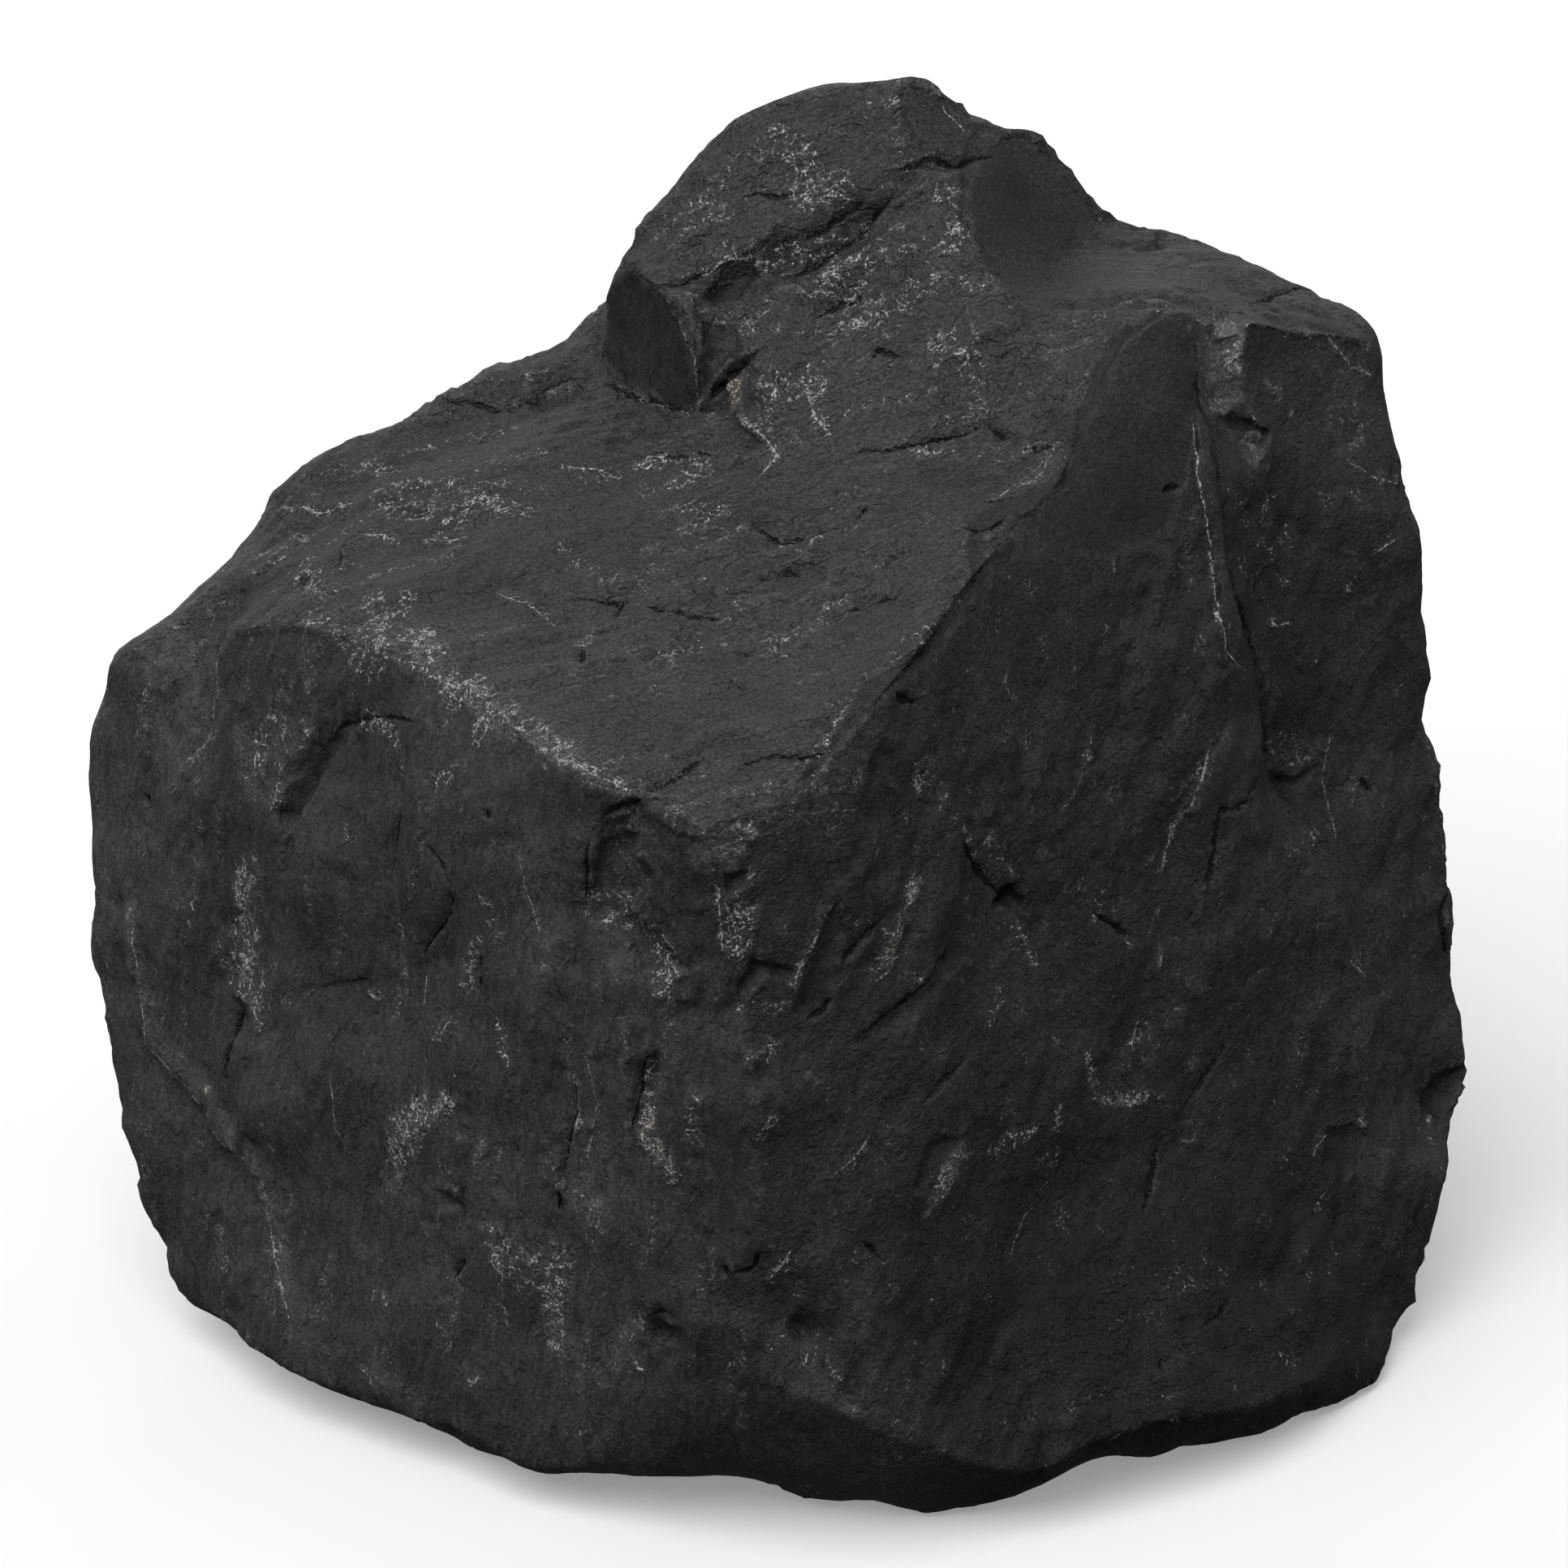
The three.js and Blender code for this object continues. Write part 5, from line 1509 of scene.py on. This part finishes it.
# How the patterns change the brightness, from their darkest to their palest places, and the painted
# shade in sunk places, in cracks and under the top's small steps
NOISE_RANGE = (0.3, 0.7)  # where most values of a noise lie
MOTTLE_SHADES = (0.9, 1.1)
STREAK_SHADES = (0.76, 1.28)
GRIT_SHADES = (0.67, 1.38)
EXTRA_TOP_GRIT = 0.7
# Painted shade in sunk places
SUNK_PAINTED_SHADE = 0.8
# Painted shade along cracks
CRACK_PAINTED_SHADE = 0.3
# Paler on edges that stand out from their neighbours
RAISED_EDGE_PALENESS = 1.35
BROKEN_SHADE = 1.75
# Painted shadow under the risers of the top's small steps
TOP_STEP_PAINTED_SHADOW = -0.3

# How the finest relief, which is only shaded, stands up, in millimetres
STREAK_RELIEF = (0.08, 0.05)  # on plain and on calm faces
LAYER_COUNT = 9.0  # thin layers from the lowest to the highest place of a noise
LAYER_RELIEF = 0.05
TIPPED_FACE_RELIEF = 0.17
FINE_GRIT_RELIEF = (0.038, 0.13)  # on plain stone and among flecks
TOP_GRIT_RELIEF = 0.05
CRACK_RELIEF = -0.22


def drawn_out(graph, places, ragged):
    """The places drawn together along the grain of their side, so that a pattern runs along it."""
    def choose(side, first, second):
        share = graph.math("MULTIPLY_ADD", ragged, 0.6, graph.attribute(side))
        return graph.blend(graph.math("GREATER_THAN", share, 0.8), first, second)

    right, left, top = (
        (*Vector(direction).normalized(), 1) for direction in (RIGHT_GRAIN, LEFT_GRAIN, TOP_GRAIN))
    direction = choose("top", choose("left", right, left), top)
    along = graph.vectors("DOT_PRODUCT", places, direction, "Value")
    shift = graph.scaled(direction, graph.math("MULTIPLY", along, 1 / GRAIN_STRETCH - 1))
    return graph.vectors("ADD", places, shift)


def swirled(graph, places):
    """The places, each moved a little, so that a pattern on them winds about."""
    inputs = {"Vector": places, "Scale": 1 / (SWIRL_SIZE * MM), "Detail": 2.0}
    swirl = graph.add("ShaderNodeTexNoise", inputs, "Color")
    swirl = graph.scaled(graph.vectors("SUBTRACT", swirl, CENTRE), SWIRL_SIZE * MM)
    return graph.vectors("ADD", places, swirl)


def tipped_faces(graph, places, size):
    """Heights in millimetres of small flat faces that each tip a different way."""
    cells = graph.nodes.new("ShaderNodeTexVoronoi")
    for socket, value in {"Vector": places, "Scale": 1 / (size * MM), "Randomness": 1.0}.items():
        graph.feed(cells.inputs[socket], value)
    offset = graph.vectors("SUBTRACT", places, cells.outputs["Position"])
    tilt = graph.vectors("SUBTRACT", cells.outputs["Color"], CENTRE)
    return graph.math("MULTIPLY", graph.vectors("DOT_PRODUCT", offset, tilt, "Value"), 1 / MM)


def thin_layers(graph, places):
    """Heights of thin layers that end in small steps, and 1 along the middle of each step."""
    layer = graph.math("MULTIPLY", graph.noise(places, LAYER_SIZE, 3.0, 0.55), LAYER_COUNT)
    riser = graph.between(graph.math("FRACT", layer), 0.8, 1.0)
    step = graph.math("MULTIPLY", riser, graph.math("SUBTRACT", 1.0, riser))
    return graph.math("ADD", graph.math("FLOOR", layer), riser), graph.math("MULTIPLY", step, 4.0)


def threads(graph, noise, width, on_thread, elsewhere):
    """One value along the winding lines where a noise is at its middle, and another elsewhere."""
    off = graph.math("ABSOLUTE", graph.math("SUBTRACT", noise, 0.5))
    return graph.between(off, 0.0, width, on_thread, elsewhere)


def drawn_line(graph, name, ragged):
    """1 along the middle of the drawn lines of that name, and 0 beside them."""
    across = graph.math("MULTIPLY_ADD", graph.math("SUBTRACT", ragged, 0.5), 0.22,
                        graph.attribute(name))
    width = graph.math("MULTIPLY", graph.attribute(name + "_width"),
                       graph.between(ragged, 0.3, 0.65, 0.35, 1.2))
    width = graph.math("MAXIMUM", width, 1e-4)
    share = graph.math("DIVIDE", graph.math("ABSOLUTE", across), width)
    return graph.between(share, 0.3, 1.0, 1.0, 0.0)


class StoneGraph(Graph):
    """Near-black stone: mottled, streaked along the grain, gritty, with pale flecks where broken, and
    painted shade and light.
    """

    def __init__(self):
        super().__init__("shungite")
        self.places = self.add("ShaderNodeTexCoord", {}, "Object")
        self.fleck, self.calm, self.worn, self.top = (
            self.attribute(name) for name in ("fleck", "calm", "worn", "top"))
        self.mottle = self.noise(self.places, MOTTLE_SIZE, 3.0)
        self.grit = self.noise(self.places, FINE_GRIT_SIZE, 2.0, 0.6)
        self.swirled = swirled(self, self.places)
        self.drawn = drawn_out(self, self.swirled, self.mottle)
        self.streaks = self.noise(self.drawn, STREAK_SIZE, 3.0, 0.6)
        self.layers, self.step = thin_layers(self, self.drawn)
        ragged = self.noise(self.places, RAGGED_SIZE, 3.0, 0.6)
        self.crack = drawn_line(self, "crack", ragged)
        self.vein = drawn_line(self, "vein", ragged)
        self.broken = self.broken_share()

    def product(self, first, *others):
        """Several numbers multiplied."""
        for other in others:
            first = self.math("MULTIPLY", first, other)
        return first

    def towards(self, share, plain, full):
        """The first value where the share is 0, and the second where it is 1."""
        return self.between(share, 0.0, 1.0, plain, full)

    def broken_share(self):
        """How freshly broken the surface is, or how far it stands out on an edge: there the flecks are
        dense.
        """
        patches = self.noise(self.drawn, PATCH_SIZE, 3.0, 0.6)
        broken = self.math("MULTIPLY_ADD", self.worn, 0.3, self.fleck)
        broken = self.math("ADD", broken, self.between(patches, 0.5, 0.66, 0.0, 0.55))
        broken = self.math("MULTIPLY_ADD", self.step, 0.12, broken)
        thread = threads(self, self.noise(self.swirled, THREAD_SIZE, 2.0), 0.07, 1.3, 0.38)
        broken = self.product(broken, thread, self.towards(self.calm, 1.0, 0.3))
        return self.math("MINIMUM", broken, 1.15)

    def flecks(self):
        """1 on pale flecks, fibres and veins, and 0 on bare stone."""
        specks = self.noise(self.places, SPECK_SIZE, 2.0, 0.6)
        edge = self.math("MULTIPLY_ADD", self.broken, -0.22, 0.745)
        flecks = self.between(self.math("SUBTRACT", specks, edge), 0.0, 0.13)
        fibre = threads(self, self.noise(self.swirled, FIBRE_SIZE, 3.0, 0.55), 0.035, 1.0, 0.0)
        fibre = self.product(
            fibre, self.between(self.broken, 0.35, 0.95),
            self.between(self.grit, 0.4, 0.62, 0.0, 0.75))
        vein = self.product(
            self.vein, self.between(self.grit, 0.38, 0.6, 0.1, 0.9),
            self.between(self.streaks, 0.36, 0.52, 0.15, 1.0))
        return self.math("MAXIMUM", flecks, self.math("MAXIMUM", fibre, vein))

    def brightness(self):
        """How many times as bright as the plain stone each place is, painted shade and light included.
        """
        grit_power = self.math("MULTIPLY_ADD", self.top, EXTRA_TOP_GRIT, 1.0)
        top_step_shadow = self.math("MULTIPLY", self.step, self.top)
        return self.product(
            # painted shade and light of the marks, and the faces' own paler colour
            self.math("POWER", 2.0, self.attribute("tone_and_painted_shading")),
            self.between(self.mottle, *NOISE_RANGE, *MOTTLE_SHADES),
            self.between(self.streaks, *NOISE_RANGE, *STREAK_SHADES),
            self.math("POWER", self.between(self.grit, *NOISE_RANGE, *GRIT_SHADES), grit_power),
            # painted shade in sunk places
            self.towards(self.attribute("sunk_painted_shade"), 1.0, SUNK_PAINTED_SHADE),
            # painted shade in cracks
            self.towards(self.crack, 1.0, CRACK_PAINTED_SHADE),
            # paler on edges that stand out
            self.towards(self.worn, 1.0, RAISED_EDGE_PALENESS),
            self.towards(self.broken, 1.0, BROKEN_SHADE),
            # painted shadow under the risers of the top's small steps
            self.math("MULTIPLY_ADD", top_step_shadow, TOP_STEP_PAINTED_SHADOW, 1.05))

    def colour(self):
        """Grey stone under pale and tan flecks."""
        is_tan = self.math("MULTIPLY", self.attribute("tan"), self.between(self.mottle, 0.2, 0.5))
        fleck_colour = self.blend(is_tan, FLECK_COLOUR, TAN_COLOUR)
        return self.blend(self.flecks(), self.scaled(STONE_COLOUR, self.brightness()), fleck_colour)

    def relief(self):
        """Heights in millimetres of streaks, thin layers, small tipped faces, grit and cracks."""
        relief = self.math("MULTIPLY", self.streaks, self.towards(self.calm, *STREAK_RELIEF))
        lively = self.math(
            "MULTIPLY", self.towards(self.calm, 1.0, 0.25),
            self.math("MULTIPLY_ADD", self.top, EXTRA_TOP_RELIEF, 1.0))
        faces = tipped_faces(self, self.drawn, TIPPED_FACE_SIZE)
        faces = self.math("MULTIPLY", faces, TIPPED_FACE_RELIEF)
        crisp = self.math("MULTIPLY_ADD", self.layers, LAYER_RELIEF, faces)
        relief = self.math("MULTIPLY_ADD", crisp, lively, relief)
        grain = self.towards(self.fleck, *FINE_GRIT_RELIEF)
        grain = self.math("MULTIPLY_ADD", self.top, TOP_GRIT_RELIEF, grain)
        relief = self.math("MULTIPLY_ADD", self.grit, grain, relief)
        return self.math("MULTIPLY_ADD", self.crack, CRACK_RELIEF, relief)

    def roughness(self):
        """Sheeny on the streaks' darker places, duller on their paler ones and among flecks."""
        least, most = (STONE_ROUGHNESS + change for change in STREAK_ROUGHNESS)
        streaks = self.between(self.streaks, 0.25, 0.75, least, most)
        return self.math("MULTIPLY_ADD", self.fleck, FLECK_ROUGHNESS, streaks)


def stone_material():
    """The stone's one material."""
    graph = StoneGraph()
    bump = {"Height": graph.relief(), "Distance": MM, "Strength": 1.0}
    graph.finish(
        Base_Color=graph.colour(), Roughness=graph.roughness(),
        Normal=graph.add("ShaderNodeBump", bump), Specular_IOR_Level=STONE_SPECULAR)
    return graph.material


FLOOR_COLOUR = (0.65, 0.65, 0.65)
FLOOR_ROUGHNESS = 0.9
FLOOR_SPECULAR = 0.2
FLOOR_GLOW = 0.25
PAPER_SIZE = 40.0  # of the paper's faint mottling
PAPER_SHADES = (0.98, 1.02)


def floor_material():
    """Plain pale matt paper."""
    graph = Graph("pale_paper")
    places = graph.add("ShaderNodeTexCoord", {}, "Object")
    shade = graph.between(graph.noise(places, PAPER_SIZE, 3.0), *NOISE_RANGE, *PAPER_SHADES)
    graph.finish(
        Base_Color=graph.scaled(FLOOR_COLOUR, shade), Roughness=FLOOR_ROUGHNESS,
        Specular_IOR_Level=FLOOR_SPECULAR, Emission_Color=(1, 1, 1, 1), Emission_Strength=FLOOR_GLOW)
    return graph.material


# Floor, light and camera, in metres

FLOOR_SIDE = 6.0
SUN_TO_LIGHT = (-0.34, -0.35, 0.87)
SUN_SPREAD = math.radians(55)
SUN_STRENGTH = 2.3
FILL_TO_LIGHT = (-0.3, 0.93, 0.2)
FILL_SPREAD = math.radians(70)
FILL_STRENGTH = 0.6
SKY_LIGHT = 0.53
GROUND_LIGHT = 0.065
SKY_EDGE = 0.2  # the sky fades into the ground within this much of the horizon


def make_floor():
    """A wide sheet that takes the stone's shadow, but casts no light back on the stone."""
    mesh = bpy.data.meshes.new("floor")
    half = FLOOR_SIDE / 2
    corners = [(-half, -half, 0), (half, -half, 0), (half, half, 0), (-half, half, 0)]
    mesh.from_pydata(corners, [], [(0, 1, 2, 3)])
    mesh.materials.append(floor_material())
    floor = bpy.data.objects.new("floor", mesh)
    floor.visible_diffuse = False
    floor.visible_glossy = False
    bpy.context.scene.collection.objects.link(floor)


def add_sun(name, to_light, spread, strength):
    """A soft light from one direction."""
    sun = bpy.data.lights.new(name, "SUN")
    sun.energy = strength
    sun.angle = spread
    lamp = bpy.data.objects.new(name, sun)
    lamp.rotation_mode = "QUATERNION"
    lamp.rotation_quaternion = Vector(to_light).to_track_quat("Z", "Y")
    bpy.context.scene.collection.objects.link(lamp)


def make_light():
    """A broad light from the upper left in front, a weak one from behind, and a soft sky."""
    add_sun("softbox", SUN_TO_LIGHT, SUN_SPREAD, SUN_STRENGTH)
    add_sun("fill", FILL_TO_LIGHT, FILL_SPREAD, FILL_STRENGTH)
    world = bpy.data.worlds.new("studio")
    bpy.context.scene.world = world
    world.use_nodes = True
    nodes, links = world.node_tree.nodes, world.node_tree.links
    direction = nodes.new("ShaderNodeTexCoord")
    parts = nodes.new("ShaderNodeSeparateXYZ")
    links.new(direction.outputs["Generated"], parts.inputs[0])
    strength = nodes.new("ShaderNodeMapRange")
    strength.inputs["From Min"].default_value = -SKY_EDGE
    strength.inputs["From Max"].default_value = SKY_EDGE
    strength.inputs["To Min"].default_value = GROUND_LIGHT
    strength.inputs["To Max"].default_value = SKY_LIGHT
    links.new(parts.outputs["Z"], strength.inputs["Value"])
    sky = nodes["Background"]
    sky.inputs["Color"].default_value = (1, 1, 1, 1)
    links.new(strength.outputs[0], sky.inputs["Strength"])


def make_camera():
    """The camera of the photograph."""
    data = bpy.data.cameras.new("camera")
    data.sensor_width = SENSOR_WIDTH
    data.lens = SENSOR_WIDTH * FOCAL_PIXELS / PHOTO_SIDE
    camera = bpy.data.objects.new("camera", data)
    camera.location = CAMERA_PLACE * MM
    camera.rotation_euler = (math.pi / 2 - CAMERA_ELEVATION, 0, 0)
    bpy.context.scene.collection.objects.link(camera)
    bpy.context.scene.camera = camera


make_camera()
make_light()
make_floor()
piece = stone_object()
piece.data.materials.append(stone_material())
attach(piece, "root")
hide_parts("stone")

bpy.context.scene.view_settings.view_transform = "Standard"
